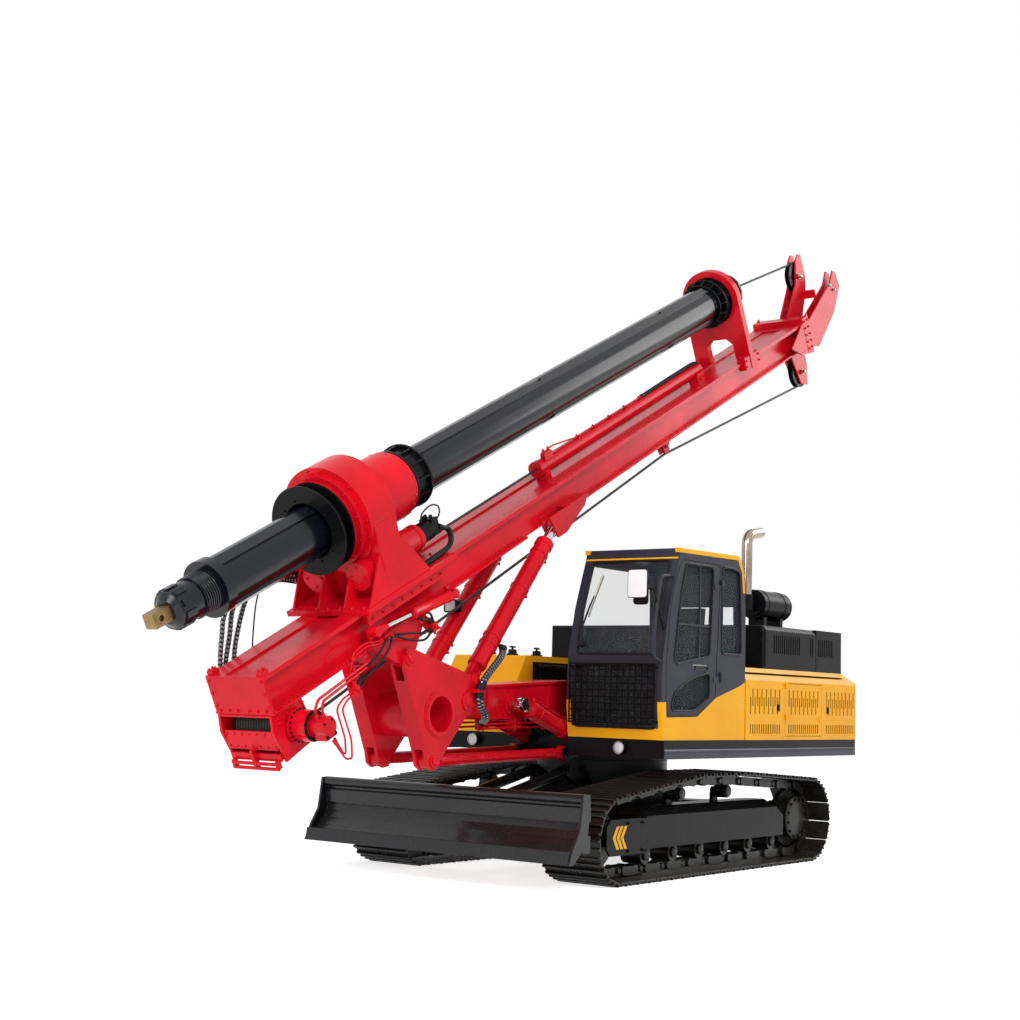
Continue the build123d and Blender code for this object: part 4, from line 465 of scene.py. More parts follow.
def pane(name, colour, deep):
    """Toughened glass, faintly grey: nearly clear, and a smooth film that shows the lamps."""
    material, tree, shader, place = start(name)
    tint = ramp(tree, noise(tree, place, 4.0, 3.0), [(0.3, linear(deep)), (0.7, linear(colour))])
    fill(tree, shader, {"Base Color": tint, "Roughness": 0.03, "Alpha": 0.08})
    return material


def colour_property(text, name, description):
    """A colour to choose in the panel, from an sRGB hex default."""
    return bpy.props.FloatVectorProperty(name=name, description=description, default=linear(text), size=3,
                                         subtype="COLOR", min=0.0, max=1.0)


def length_property(name, description, default, low, high):
    """A length to choose in the panel, in metres."""
    return bpy.props.FloatProperty(name=name, description=description, default=default, unit="LENGTH", min=low,
                                   max=high)


class RigSizes(bpy.types.PropertyGroup):
    rope: length_property("Rope", "Diameter of the hoisting rope", 0.026, 0.01, 0.05)
    hose: length_property("Hose", "Diameter of a pressure hose", 0.034, 0.01, 0.06)
    bolt: length_property("Bolt", "Width of the large bolt heads", 0.036, 0.01, 0.08)
    floor: length_property("Floor", "Side of the studio floor", 160.0, 10.0, 400.0)


class RigColours(bpy.types.PropertyGroup):
    red: colour_property("#E20C24", "Red", "Mast, drive, boom and winch")
    yellow: colour_property("#FEB60C", "Yellow", "House, tank and cab base")
    black: colour_property("#0F1013", "Black", "Hood, muffler, deck edge and bolted black parts")
    slate: colour_property("#33343F", "Slate", "Frame and panels of the cab")


# ---- Stage
# the fitted place and aim of the photograph's camera, in metres and degrees
CAMERA = {"place": (13.04144, 8.98499, 1.55595), "azimuth": 36.8047, "pitch": 6.5898, "roll": -1.6947,
          "lens": 57.613, "sensor": 36.0, "far": 400.0}
# name, place, what it looks at, watts, side in metres
LAMPS = (("key lamp", (9.0, 14.0, 12.0), (0.0, 0.0, 1.5), 1500.0, 6.0),
         ("fill lamp", (17.0, 0.0, 8.0), (1.0, 0.0, 2.5), 1300.0, 8.0),
         ("rear lamp", (-12.0, 6.0, 10.0), (0.0, 0.0, 2.0), 650.0, 8.0))
WHITE = (1, 1, 1, 1)
FLOOR_GREY = (0.8, 0.8, 0.8, 1)
SKY_STOPS = [(0.0, (0.42, 0.42, 0.44)), (0.35, (0.7, 0.7, 0.72)), (0.8, (0.9, 0.9, 0.92))]


def turned(axes, place):
    """A matrix whose columns are the rows of axes, at a place."""
    return Matrix([[*axes[:, i], place[i]] for i in range(3)] + [[0, 0, 0, 1]])


def backdrop_rays(tree):
    """1 for the rays that see the backdrop: from the camera, through glass and off gloss."""
    rays = node(tree, "ShaderNodeLightPath").outputs
    seen = maths(tree, "MAXIMUM", rays["Is Camera Ray"], rays["Is Glossy Ray"])
    return maths(tree, "MAXIMUM", seen, rays["Is Transmission Ray"])


class RIG_OT_stage(bpy.types.Operator):
    """Floor, sky, lamps and the camera at the photograph's place"""
    bl_idname = "rig.stage"
    bl_label = "Stage"

    def execute(self, context):
        side = context.scene.rig_sizes.floor / 2
        mesh = bpy.data.meshes.new("studio_floor")
        mesh.from_pydata([(-side, -side, 0), (side, -side, 0), (side, side, 0), (-side, side, 0)], [],
                         [(0, 1, 2, 3)])
        floor = bpy.data.objects.new("studio_floor", mesh)
        context.collection.objects.link(floor)
        material = bpy.data.materials.new("pale studio floor")
        material.use_nodes = True
        tree = material.node_tree
        tree.nodes.clear()
        # the floor shows its own shadow over a white ground to the camera and in reflections
        matt = node(tree, "ShaderNodeBsdfDiffuse", {"Color": FLOOR_GREY}).outputs[0]
        ground = node(tree, "ShaderNodeEmission", {"Color": WHITE, "Strength": 0.72}).outputs[0]
        lit = node(tree, "ShaderNodeAddShader", {0: matt, 1: ground}).outputs[0]
        both = node(tree, "ShaderNodeMixShader", {0: backdrop_rays(tree), 1: matt, 2: lit}).outputs[0]
        node(tree, "ShaderNodeOutputMaterial", {"Surface": both})
        mesh.materials.append(material)

        world = bpy.data.worlds.new("studio sky")
        world.use_nodes = True
        tree = world.node_tree
        tree.nodes.clear()
        # a pale sky above and a dimmer ring at the horizon, so that gloss has something to show
        around = node(tree, "ShaderNodeTexCoord").outputs["Generated"]
        tall = node(tree, "ShaderNodeSeparateXYZ", {"Vector": around}).outputs["Z"]
        sky = ramp(tree, tall, SKY_STOPS)
        soft = node(tree, "ShaderNodeBackground", {"Color": sky, "Strength": 0.55}).outputs[0]
        white = node(tree, "ShaderNodeBackground", {"Color": WHITE, "Strength": 1.0}).outputs[0]
        both = node(tree, "ShaderNodeMixShader", {0: backdrop_rays(tree), 1: soft, 2: white}).outputs[0]
        node(tree, "ShaderNodeOutputWorld", {"Surface": both})
        context.scene.world = world
        context.scene.view_settings.view_transform = "Standard"

        for name, spot, aim, power, size in LAMPS:
            data = bpy.data.lights.new(name, "AREA")
            data.energy, data.size = power, size
            lamp = bpy.data.objects.new(name, data)
            context.collection.objects.link(lamp)
            z = unit(np.array(spot, float) - aim)
            x = unit(np.cross((0, 0, 1), z))
            lamp.matrix_world = turned(np.stack([x, np.cross(z, x), z]), spot)

        data = bpy.data.cameras.new("camera")
        data.sensor_width, data.lens, data.clip_end = CAMERA["sensor"], CAMERA["lens"], CAMERA["far"]
        camera = bpy.data.objects.new("camera", data)
        context.collection.objects.link(camera)
        azimuth, pitch, roll = (math.radians(CAMERA[key]) for key in ("azimuth", "pitch", "roll"))
        ahead = np.array([-math.cos(azimuth) * math.cos(pitch), -math.sin(azimuth) * math.cos(pitch),
                          math.sin(pitch)])
        right = unit(np.cross(ahead, (0, 0, 1)))
        up = np.cross(right, ahead)
        rolled = math.cos(roll) * right - math.sin(roll) * up, math.sin(roll) * right + math.cos(roll) * up
        camera.matrix_world = turned(np.stack([*rolled, -ahead]), CAMERA["place"])
        context.scene.camera = camera
        return {"FINISHED"}


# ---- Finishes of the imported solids
# nodes whose finish differs from the rest of their slot
OTHER_FINISH = {"blade_arms": "orange_paint", "crowd_rod": "rope_steel"}


class RIG_OT_finishes(bpy.types.Operator):
    """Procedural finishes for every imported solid"""
    bl_idname = "rig.finishes"
    bl_label = "Finishes"

    def execute(self, context):
        chosen = context.scene.rig_colours
        FINISH.update({
            # two-pack machine enamel, sprayed thick: clean saturated red with a wet shine
            "red_paint": coated("two-pack enamel, red", chosen.red, "#C9081C", rough=0.24, coat=0.08, dust=0.02,
                                sheen=0.14),
            # the same enamel in chrome yellow
            "yellow_paint": coated("two-pack enamel, yellow", chosen.yellow, "#F6A906", rough=0.28, coat=0.06,
                                   dust=0.04, sheen=0.16),
            # chassis black: half gloss, grey where dust has settled
            "black_paint": coated("chassis enamel, black", chosen.black, "#08090B", rough=0.27, coat=0.02,
                                  dust=0.07, sheen=0.1),
            # cab frame in dark slate enamel
            "charcoal_paint": coated("cab enamel, slate", chosen.slate, "#292A33", rough=0.3, coat=0.05,
                                     dust=0.03, sheen=0.16),
            # cast and rolled track steel, blackened, with rubbed grey
            "track_steel": coated("rolled track steel", "#151413", "#0A0909", rough=0.33, coat=0.05, dust=0.2,
                                  scuff=0.3, peel=0.4, edge=2.0),
            # thick-wall tube under black enamel, satin
            "bar_steel": coated("black enamelled tube steel", "#0B0E17", "#05070C", rough=0.2, coat=0.12,
                                dust=0.03, dust_colour="#6E7078", edge=4.0),
            # blade plate: dark enamel scraped by soil
            "blade_paint": coated("scraped blade enamel", "#15171C", "#0D0E12", rough=0.26, coat=0.12, dust=0.1,
                                  sheen=0.35, scuff=0.35, scuff_colour="#6A6C70"),
            # orange arm enamel, dusty
            "orange_paint": coated("arm enamel, orange", "#F59A1E", "#E08612", rough=0.4, coat=0.1, dust=0.35),
            # stranded steel rope, greased
            "rope_steel": coated("greased steel rope", "#3A3836", "#1E1C1B", rough=0.45, coat=0.0, peel=0.6),
            # forged and machined stub with a film of rust
            "stub_steel": metal("forged steel, lightly rusted", "#A88F62", "#6F5635", rough=0.42, grain=90.0),
            # hard chrome over a ground rod: a clean mirror
            "chrome_rod": metal("hard chrome", "#DADADC", "#C6C6CA", rough=0.08, grain=300.0, strength=0.02),
            # turned pin ends, oiled
            "pin_steel": metal("turned steel pin", "#8A8A8C", "#5C5C5E", rough=0.32, grain=160.0),
            # zinc-plated bolts, slightly yellow
            "plated_steel": metal("zinc-plated steel", "#A9A79E", "#7C7A72", rough=0.35, grain=200.0),
            # stainless exhaust pipe, bright with a warm tint
            "exhaust_metal": metal("stainless exhaust pipe", "#B9B0A2", "#8F8678", rough=0.2, grain=120.0,
                                   strength=0.05),
            # toughened glass
            "window_glass": pane("toughened window glass", "#7E8A8E", "#5E6A6E"),
            # painted shade: dark brown for thin sheets on the slot floors, in place of the shade inside the pressed
            # slots
            "slot_painted_shade": dull("painted shade in the slots", "#6E4209", "#4E2E06", rough=0.8),
            # mirror glass: a near-white diffuse colour, a painted reflection of the white surroundings
            "mirror_glass": dull("mirror glass, painted reflection", "#F4F6F7", "#EDF0F1", rough=0.1, grain=90.0,
                                 strength=0.0),
            # woven polyester seat cover
            "seat_fabric": dull("woven polyester cover", "#2A2A2E", "#1B1B1E", rough=0.8, grain=420.0,
                                strength=0.5),
            # moulded ABS, fine pebble grain
            "trim_plastic": dull("moulded ABS, black", "#1D1D20", "#141416", rough=0.5, grain=500.0),
            # oil-resistant rubber with a cloth pattern
            "hose_rubber": dull("hose rubber", "#1A1B1D", "#101012", rough=0.45, grain=300.0),
            # lamp lens, pressed glass over a bright bowl
            "lens": dull("pressed lamp lens", "#E8ECEE", "#C8D0D4", rough=0.12, grain=90.0, strength=0.6),
        })
        for entry in frame["record"]["subparts"]:
            name, slot = entry["node"], entry["material_slot"]
            for holder in NODES[name].material_slots:
                holder.material = FINISH[OTHER_FINISH.get(name, slot)]
        return {"FINISHED"}


# ---- Track chains
TRACK = {"gauge": 2164.0, "shoe": 634.0, "count": 50, "plate": 14.0, "grouser": 26.0, "link": 92.0, "face": 226.0}
# x, z and radius of sprocket, carrier rollers and idler
WHEELS = ((-1790.0, 424.0, 292.0), (-470.0, 730.0, 65.0), (400.0, 730.0, 65.0), (1770.0, 384.0, 252.0))
# one arrow of the guards, from its foremost corner
ARROW = np.array([(0, 402), (-62, 500), (-104, 500), (-42, 402), (-104, 304), (-62, 304)], float)
# covers of sprocket, carrier rollers and bottom rollers: profile, sides, distance from the chain's middle, places
WHEEL_COVERS = (
    ([(214, 0), (220, 6), (220, 26), (212, 34), (150, 40), (60, 52), (0.01, 54)], 48, 100.5, [(-1790, 424)]),
    ([(50, 0), (54, 4), (54, 16), (40, 22), (0.01, 24)], 28, 60.5, [(400.0, 730), (-470.0, 730)]),
    ([(44, 0), (48, 4), (48, 20), (34, 26), (0.01, 28)], 24, 105.5, [(1080 - 475 * k, 214.5) for k in range(6)]))


def chain_path(offset, steps=160):
    """The closed way round sprocket, carrier rollers and idler: arcs of radius r + offset joined by tangents."""
    arcs = []
    for i, (x, z, r) in enumerate(WHEELS):
        turn = []
        for (ax, az, ar), (bx, bz, br) in ((WHEELS[i - 1], (x, z, r)), ((x, z, r), WHEELS[(i + 1) % 4])):
            lean = math.atan2(bz - az, bx - ax)
            turn.append(lean + math.pi / 2 + math.asin((br - ar) / math.hypot(bx - ax, bz - az)))
        first, last = turn
        last -= 2 * math.pi * math.ceil((last - first) / (2 * math.pi))
        a = np.linspace(first, last, steps)
        arcs.append(np.stack([x + (r + offset) * np.cos(a), z + (r + offset) * np.sin(a)], -1))
    return np.concatenate(arcs)


def chain_stations(offset, count, start=0.5):
    """Evenly spaced places on the chain path with their forward and outward directions, and the pitch."""
    path = chain_path(offset)
    closed = np.vstack([path, path[:1]])
    run = np.concatenate([[0], np.cumsum(np.linalg.norm(np.diff(closed, axis=0), axis=1))])
    pitch = run[-1] / count
    at = (np.arange(count) + start) * pitch
    here, ahead, back = ([np.interp(a, run, closed[:, k]) for k in (0, 1)] for a in (
        at, (at + 0.45 * pitch) % run[-1], (at - 0.45 * pitch) % run[-1]))
    none = np.zeros(count)
    way = unit(np.stack([ahead[0] - back[0], none, ahead[1] - back[1]], -1))
    out = np.stack([-way[:, 2], none, way[:, 0]], -1)
    return np.stack([here[0], none, here[1]], -1), way, out, pitch


def track_shoe(pitch):
    """A triple-grouser shoe: its outline across the bars, carried over the width and drawn in at both ends."""
    p, t, g = pitch, TRACK["plate"], TRACK["plate"] + TRACK["grouser"]
    line = np.array([(-0.50 * p, 2), (0.47 * p, 0), (0.50 * p, 3), (0.50 * p, 10), (0.455 * p, t),
                     (0.445 * p, g - 2), (0.385 * p, g - 2), (0.365 * p, t), (0.05 * p, t), (0.035 * p, g),
                     (-0.035 * p, g), (-0.05 * p, t), (-0.36 * p, t), (-0.375 * p, g - 3), (-0.43 * p, g - 3),
                     (-0.45 * p, t), (-0.50 * p, t - 3)])
    half = TRACK["shoe"] / 2
    stations = ((-half, 0.90, 4.0), (-half + 14, 1.0, 0.0), (half - 14, 1.0, 0.0), (half, 0.90, 4.0))
    rings = [np.stack([line[:, 0] * s, np.full(len(line), y),
                       np.maximum(line[:, 1] - np.where(line[:, 1] > t + 1, c, 0), 0)], -1) for y, s, c in stations]
    n, k = len(stations), len(line)
    return np.concatenate(rings), [cells(n, k, wrap_columns=True)] + caps(n, k)


def chain_link(pitch):
    """One side of a chain link: a waisted plate with round ends, 26 mm thick."""
    h, r = TRACK["link"], 40.0
    a = np.linspace(-np.pi / 2, np.pi / 2, 7)
    right = np.stack([0.5 * pitch + 0.9 * r * np.cos(a), -0.52 * h + r * np.sin(a)], -1)
    left = np.stack([-0.5 * pitch - 0.9 * r * np.cos(a), -0.52 * h - r * np.sin(a)], -1)
    top = [(0.36 * pitch, -2.0), (-0.36 * pitch, -2.0)]
    low = [(-0.30 * pitch, -h + 12), (0.30 * pitch, -h + 12)]
    return prism(np.vstack([right, top, left, low]), -13.0, 13.0)


class RIG_OT_tracks(bpy.types.Operator):
    """Both chains: fifty shoes with their links, bushings and bolts on each side, guards' arrows and wheel covers"""
    bl_idname = "rig.tracks"
    bl_label = "Tracks"

    def execute(self, context):
        count, across = TRACK["count"], np.array([0.0, 1.0, 0.0])
        nut = lathe([(13, -1), (13, 9), (0.01, 9.5)], 6)
        pin = lathe([(24, -92), (27, -88), (27, 88), (24, 92)], 12)
        arrows, covers, heads = [], [], []
        for name, side in (("left", 1), ("right", -1)):
            y = side * TRACK["gauge"] / 2
            middle, outward = y * across, (0, side, 0)
            place, way, out, pitch = chain_stations(TRACK["link"], count)
            wide = np.broadcast_to(across, way.shape)
            axes = np.stack([way, wide, out], 1)
            nuts = [stamp(nut, place + middle + u * pitch * way + TRACK["plate"] * out + v * across, axes)
                    for u in (-0.21, 0.21) for v in (-58, 58)]
            shoes = piece(f"track_shoes_{name}", stamp(track_shoe(pitch), place + middle, axes), "track_steel",
                          "undercarriage", smooth=30)
            place, way, out, pitch = chain_stations(TRACK["link"] - 8, count)
            shift = np.where(np.arange(count) % 2, 14.0, -14.0)[:, None] * across
            links = [stamp(chain_link(pitch), place + middle + v * across + math.copysign(1, v) * shift,
                           np.stack([way, wide, out], 1)) for v in (66.0, -66.0)]
            place, way, out, _ = chain_stations(TRACK["link"] - 56, count, 0.0)
            pins = stamp(pin, place + middle, np.stack([way, out, wide], 1))
            piece(f"track_chain_{name}", join(*links, pins, *nuts), "track_steel", "undercarriage", smooth=40)
            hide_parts(f"track_{name}")

            face = y + side * TRACK["face"]
            arrows += [prism(ARROW + (1800.0 - 62.0 * k, 0), *sorted((face - side * 0.5, face + side * 0.8)))
                       for k in range(3)]
            covers += [lay(lathe(profile, sides), (x, y + side * gap, z), outward)
                       for profile, sides, gap, places in WHEEL_COVERS for x, z in places]
            heads += [bolt_ring(26, (-1790, y + side * 136.0, 424), outward, 190, 12, 0.2),
                      bolts(24, [(x, face, z) for x in (1325, 1560) for z in (285, 520)], outward)]
        piece("guard_arrows", join(*arrows), "yellow_paint", "undercarriage")
        piece("wheel_covers", join(*covers), "track_steel", "undercarriage", smooth=40)
        piece("undercarriage_bolts", join(*heads), "black_paint", "undercarriage")
        return {"FINISHED"}


# ---- Hoisting rope, in the mast's frame: places are (s, t)
ROPE = {"drum": (110.0, -1198.0), "drum_radius": 142.0, "drum_half": 215.0, "laps": 15,
        "block": (6490.0, -1150.0), "block_radius": 70.0, "rear": (9870.0, -1350.0), "head": (10300.0, -260.0),
        "groove": 151.0, "swivel": 8706.0}


def arc(centre, radius, first, last, count=14):
    """Points of an arc in the mast's plane, angles in degrees from S towards T."""
    a = np.radians(np.linspace(first, last, count))
    return np.stack([centre[0] + radius * np.cos(a), np.zeros(count), centre[1] + radius * np.sin(a)], -1)


class RIG_OT_ropes(bpy.types.Operator):
    """The hoisting rope: wound on the drum, led behind the mast, over both sheaves and down to the swivel"""
    bl_idname = "rig.ropes"
    bl_label = "Ropes"

    def execute(self, context):
        r = context.scene.rig_sizes.rope * 500
        half, core, swivel, (s0, t0) = ROPE["drum_half"], ROPE["drum_radius"], ROPE["swivel"], ROPE["drum"]
        v = np.linspace(0, ROPE["laps"] * np.pi, ROPE["laps"] * 8 + 1)
        laps = np.stack([core + 2 + 1.6 * r * np.abs(np.sin(v)) ** 0.7, -half + 2 * half * v / v[-1]], -1)
        layer = np.vstack([[(core - 6, -half - 3)], laps, [(core - 6, half + 3)]])
        mast_piece("rope_on_drum", lay(lathe(layer, 48), (s0, 0, t0), (0, 1, 0)), "rope_steel", "winch_drum",
                   smooth=60)
        groove = ROPE["groove"] + r
        way = np.vstack([[(s0, 0, t0 - core - r)], arc(ROPE["block"], ROPE["block_radius"] + r, 271, 266, 4),
                         arc(ROPE["rear"], groove, 267, 338.5), arc(ROPE["head"], groove, -21.5, 86.5, 18)])
        mast_piece("rope_lead", tube(way, r, 10), "rope_steel", "mast", smooth=80)
        top, end, inner = way[-1], np.array([swivel + 20, 0, 0]), np.array([swivel - 12, 0, 0])
        for name, a, b, count, bodies in (("rope_run", top, end, 12, ("mast", "guide")),
                                          ("rope_tail", end, inner, 8, ("bar_outer", "bar_inner"))):
            bridge(name, [tube(a + (b - a) * row(0, 1, count)[:, None], r, 10)], "rope_steel", *bodies, a, b,
                   move=on_mast, smooth=80)
        socket = lathe([(22, -30), (30, -26), (30, 34), (20, 60), (15, 64)], 20)
        clamps = [lay(washer(12, 26, 0, 22, 16), (swivel + d, 0, 0), (1, 0, 0)) for d in (80, 116)]
        mast_piece("rope_socket", join(lay(socket, (swivel, 0, 0), (1, 0, 0)), *clamps), "plated_steel", "bar_inner")
        return {"FINISHED"}


# ---- Pipes and hoses
# foot, rod eye, distance from the middle, barrel radius, the pipe's reach and the bands of each cylinder pair
TILT_BARREL = ((2530.0, 0.0, 1700.0), (1306.0, 0.0, 3161.0), 265.0, 80.0, (520.0, 1600.0),
               (415.0, 505.0, 1100.0, 1540.0))
LUFF_BARREL = ((860.0, 0.0, 1200.0), (1790.0, 0.0, 1510.0), 290.0, 76.0, (190.0, 800.0), (300.0, 720.0))
CROWD_PIPE = [(4360, -40, -552), (4360, -40, -470), (4480, -40, -452), (4800, -40, -496), (4900, -40, -512),
              (6260, -40, -512)]
CROWD_VALVE = [(4310, -548), (4450, -548), (4450, -486), (4430, -468), (4330, -468), (4310, -486)]
CROWD_CONDUIT = [(6240, -40, -512), (6600, -38, -508), (7000, -36, -506), (7440, -36, -512), (7550, -36, -588)]
WINCH_PIPES = ([(1030, -60, -1010), (1030, -60, -1090), (1030, -330, -1085), (140, -550, -996), (78, -552, -1050),
                (78, -552, -1142)],
               [(1000, -60, -1010), (1000, -60, -1120), (1000, -332, -1115), (150, -590, -1010), (110, -592, -1060),
                (110, -592, -1142)])
# guarded hoses that hang from the drive's far side to the mast's foot, and the cable beside them
FEED_HOSES = ([(1312, 452, -420), (960, 440, -290), (640, 350, -260), (330, 335, -340), (205, 335, -510),
               (100, 335, -713), (70, 335, -860)],
              [(1312, 452, -460), (980, 440, -330), (700, 352, -270), (425, 338, -340), (280, 335, -540),
               (150, 335, -733), (120, 335, -860)],
              [(1312, 452, -500), (1000, 440, -370), (760, 354, -290), (560, 340, -350), (350, 335, -570),
               (245, 335, -740), (215, 335, -860)])
FEED_CABLE = [(1312, 452, -540), (900, 400, -330), (745, 345, -330), (655, 338, -410), (565, 336, -545),
              (462, 335, -740), (440, 335, -860)]


def barrel_pipe(foot, eye, y, radius, reach, stops):
    """A pipe beside a cylinder's barrel, from first to last along it, with a clamp band at each stop."""
    foot, eye = np.array(foot), np.array(eye)
    way = unit(eye - foot)
    out = np.cross(way, (0, 1, 0))
    base = foot + (0, y, 0)
    first, last = reach
    line = [base + way * at + out * (radius + rise) for at, rise in ((first, -2), (first, 24), (last, 24), (last, -2))]
    parts = [pipe(line, 9.0, 30.0)]
    for at in stops:
        parts += [lay(washer(radius - 0.5, radius + 8, -13.0, 13.0, 40), base + way * at, way),
                  clip(base + way * at + out * (radius + 4), way, out, 26, 44, 32)]
    return join(*parts)


def hinge_hoses(s, shift, pull):
    """The two runs of one hose over the bracket's hinge: tilt barrel to clamp, and clamp to the boom's pipe."""
    upper = [(2140 - shift, s * 318, 2010 - shift * 0.2), (2200 - shift * 0.8, s * 368, 1950),
             (2310 - shift, s * 392, 1868), (2478 - shift, s * 396, 1725), (2541 - shift, s * 386, 1618)]
    lower = [upper[-1], (2521 - shift, s * 384, 1496), (2399 - shift, s * 352, 1384 + pull),
             (2246 - shift, s * 182, 1340 - 1.6 * pull)]
    return upper, lower


def motor_lines(w, r):
    """The thin loop and the two pressure hoses of one drive motor, at w across the mast."""
    side = math.copysign(1, w)
    loop = [(2150, w, -338), (2200, w, -280), (2330, w, -258), (2420, w, -300), (2400, w, -372), (2294, w, -400)]
    inner = [(2294, w + side * 26, -440), (2400, w + side * 50, -510), (2350, w + side * 66, -622),
             (2120, w + side * 68, -641), (1830, w + side * 70, -642)]
    outer = [(2294, w + side * 62, -440), (2380, w + side * 92, -500), (2330, w + side * 106, -612),
             (2120, w + side * 110, -641), (1830, w + side * 112, -642)]
    return [hose(loop, 7.0, 30), hose(inner, r, 36), hose(outer, r, 36)]


class RIG_OT_hydraulics(bpy.types.Operator):
    """Pipes clipped to cylinders, boom and mast, and the hoses that join them over the hinges"""
    bl_idname = "rig.hydraulics"
    bl_label = "Hydraulics"

    def execute(self, context):
        r = context.scene.rig_sizes.hose * 500
        for name, (foot, eye, y, radius, reach, stops), body in (("tilt_pipes", TILT_BARREL, "tilt_barrels"),
                                                                 ("luff_pipes", LUFF_BARREL, "luff_barrels")):
            piece(name, join(*[barrel_pipe(foot, eye, s * y, radius, reach, stops) for s in SIDES]), "red_paint",
                  body)
        # spiral-guarded hoses: from the tilt barrel to a clamp on the bracket, and on to the boom's pipes
        upper, lower = zip(*[hinge_hoses(s, shift, pull) for s in SIDES for shift, pull in ((0.0, 0.0), (44.0, 10.0))])
        for name, lines, bodies, start, end in (
                ("tilt", upper, ("bracket", "tilt_barrels"), (2535, 0, 1618), (2130, 0, 2010)),
                ("boom", lower, ("boom", "bracket"), (2246, 0, 1330), (2535, 0, 1618))):
            bridge(f"{name}_hoses", [hose(line, r, 36) for line in lines], "hose_rubber", *bodies, start, end)
            bridge(f"{name}_hose_guards", [wound(line, r + 0.5) for line in lines], "pin_steel", *bodies, start, end,
                   slot="trim_plastic")
        clamps = [clip((2519, s * 339.5, 1612), (0, 0, 1), (0, s, 0), 30, 110, 70) for s in SIDES]
        piece("hose_clamps", join(*clamps), "red_paint", "bracket")
        # two pipes under each side of the boom, with clips, and short hoses down to the deck
        pipes, clips, tails = [], [], []
        for s in SIDES:
            for z in (1338.0, 1300.0):
                pipes.append(pipe([(2250, s * 182, z - 16), (1741, s * 182, z), (1060, s * 182, z + 14)], 10.0))
                tails.append(hose([(1060, s * 182, z + 14), (980, s * 160, z + 4), (890, s * 126, z - 30),
                                   (838 + 0.9 * (z - 1300), s * 120, 1226)], r, 24))
            clips += [clip((x, s * 158, 1386 - 0.004 * (x - 1100)), (1, 0, 0), (0, 0, -1), 40, 90, 105)
                      for x in (1200, 1741, 2200)]
        piece("boom_pipes", join(*pipes, *clips), "red_paint", "boom")
        bridge("deck_hoses", tails, "hose_rubber", "upper", "boom", (850, 0, 1240), (1060, 0, 1330))
        # crowd cylinder: valve block, pipe along its barrel and the ribbed conduit that goes on
        knob = lathe([(15, 0), (15, 26), (11, 32), (0.01, 33)], 6)
        knobs = [lay(knob, (s0, -40, -470), (0, 0, 1)) for s0 in (4340, 4425)]
        clips = [clip((s0, -34, -530), (1, 0, 0), (0, -0.35, 0.94), 24, 40, 26) for s0 in row(4950, 6200, 5)]
        mast_piece("crowd_pipe", join(pipe(CROWD_PIPE, 8.0), prism(CROWD_VALVE, -66, -14), *knobs, *clips),
                   "red_paint", "mast", bevel=2.0)
        mast_piece("crowd_conduit", join(hose(CROWD_CONDUIT, 15.0, 50), wound(CROWD_CONDUIT, 15.5, 26.0, 14.0, 80)),
                   "hose_rubber", "mast", smooth=60)
        # pipes from the mast's side down to the winch motor, on the cab's side
        clamp = clip((985, -290, -1020), (1, 0, 0), (0, 0, -1), 34, 90, 70)
        mast_piece("winch_pipes", join(*[pipe(line, 11.0, 70.0) for line in WINCH_PIPES], clamp), "red_paint", "mast")
        # hoses and ports of the two drive motors
        port = lathe([(16, -8), (16, 20), (12, 26), (0.01, 27)], 6)
        motors = (-235.0, 235.0)
        mast_piece("motor_hoses", join(*[shape for w in motors for shape in motor_lines(w, r)]), "hose_rubber",
                   "drive", smooth=60)
        mast_piece("motor_ports", join(*[lay(port, (s0, w + d, -345), (0, 0, 1)) for w in motors
                                         for s0, d in ((2230, 30), (2262, -24), (2270, 40))]), "black_paint", "drive")
        # the hanging feed hoses and cable, their rack at the mast's foot and their bracket on the drive
        for name, shapes, finish, foot in (
                ("feed_hoses", [hose(line, r, 60) for line in FEED_HOSES], "hose_rubber", 240),
                ("feed_hose_guards", [wound(line, r + 0.5, 34.0, 20.0, 90) for line in FEED_HOSES], "pin_steel", 240),
                ("feed_cable", [hose(FEED_CABLE, 6.0, 50)], "hose_rubber", 460)):
            bridge(name, shapes, finish, "mast", "drive", (foot, 335, -600), (1312, 335, -600), move=on_mast,
                   slot="trim_plastic")
        mast_piece("hose_rack", block(40, 480, 204, 348, -905, -860), "red_paint", "mast", bevel=3.0)
        mast_piece("hose_bracket", block(1310, 1382, 429, 470, -570, -390), "red_paint", "drive", bevel=3.0)
        return {"FINISHED"}


# ---- Bolts, nuts and lock plates of the red structure
# the bracket's pins: x, z, the way of the lock plate in degrees, and whether there is one
BRACKET_PINS = ((2620, 1520, 200, True), (2530, 1700, 120, True), (3400, 1860, 40, True), (3050, 1020, 250, False))


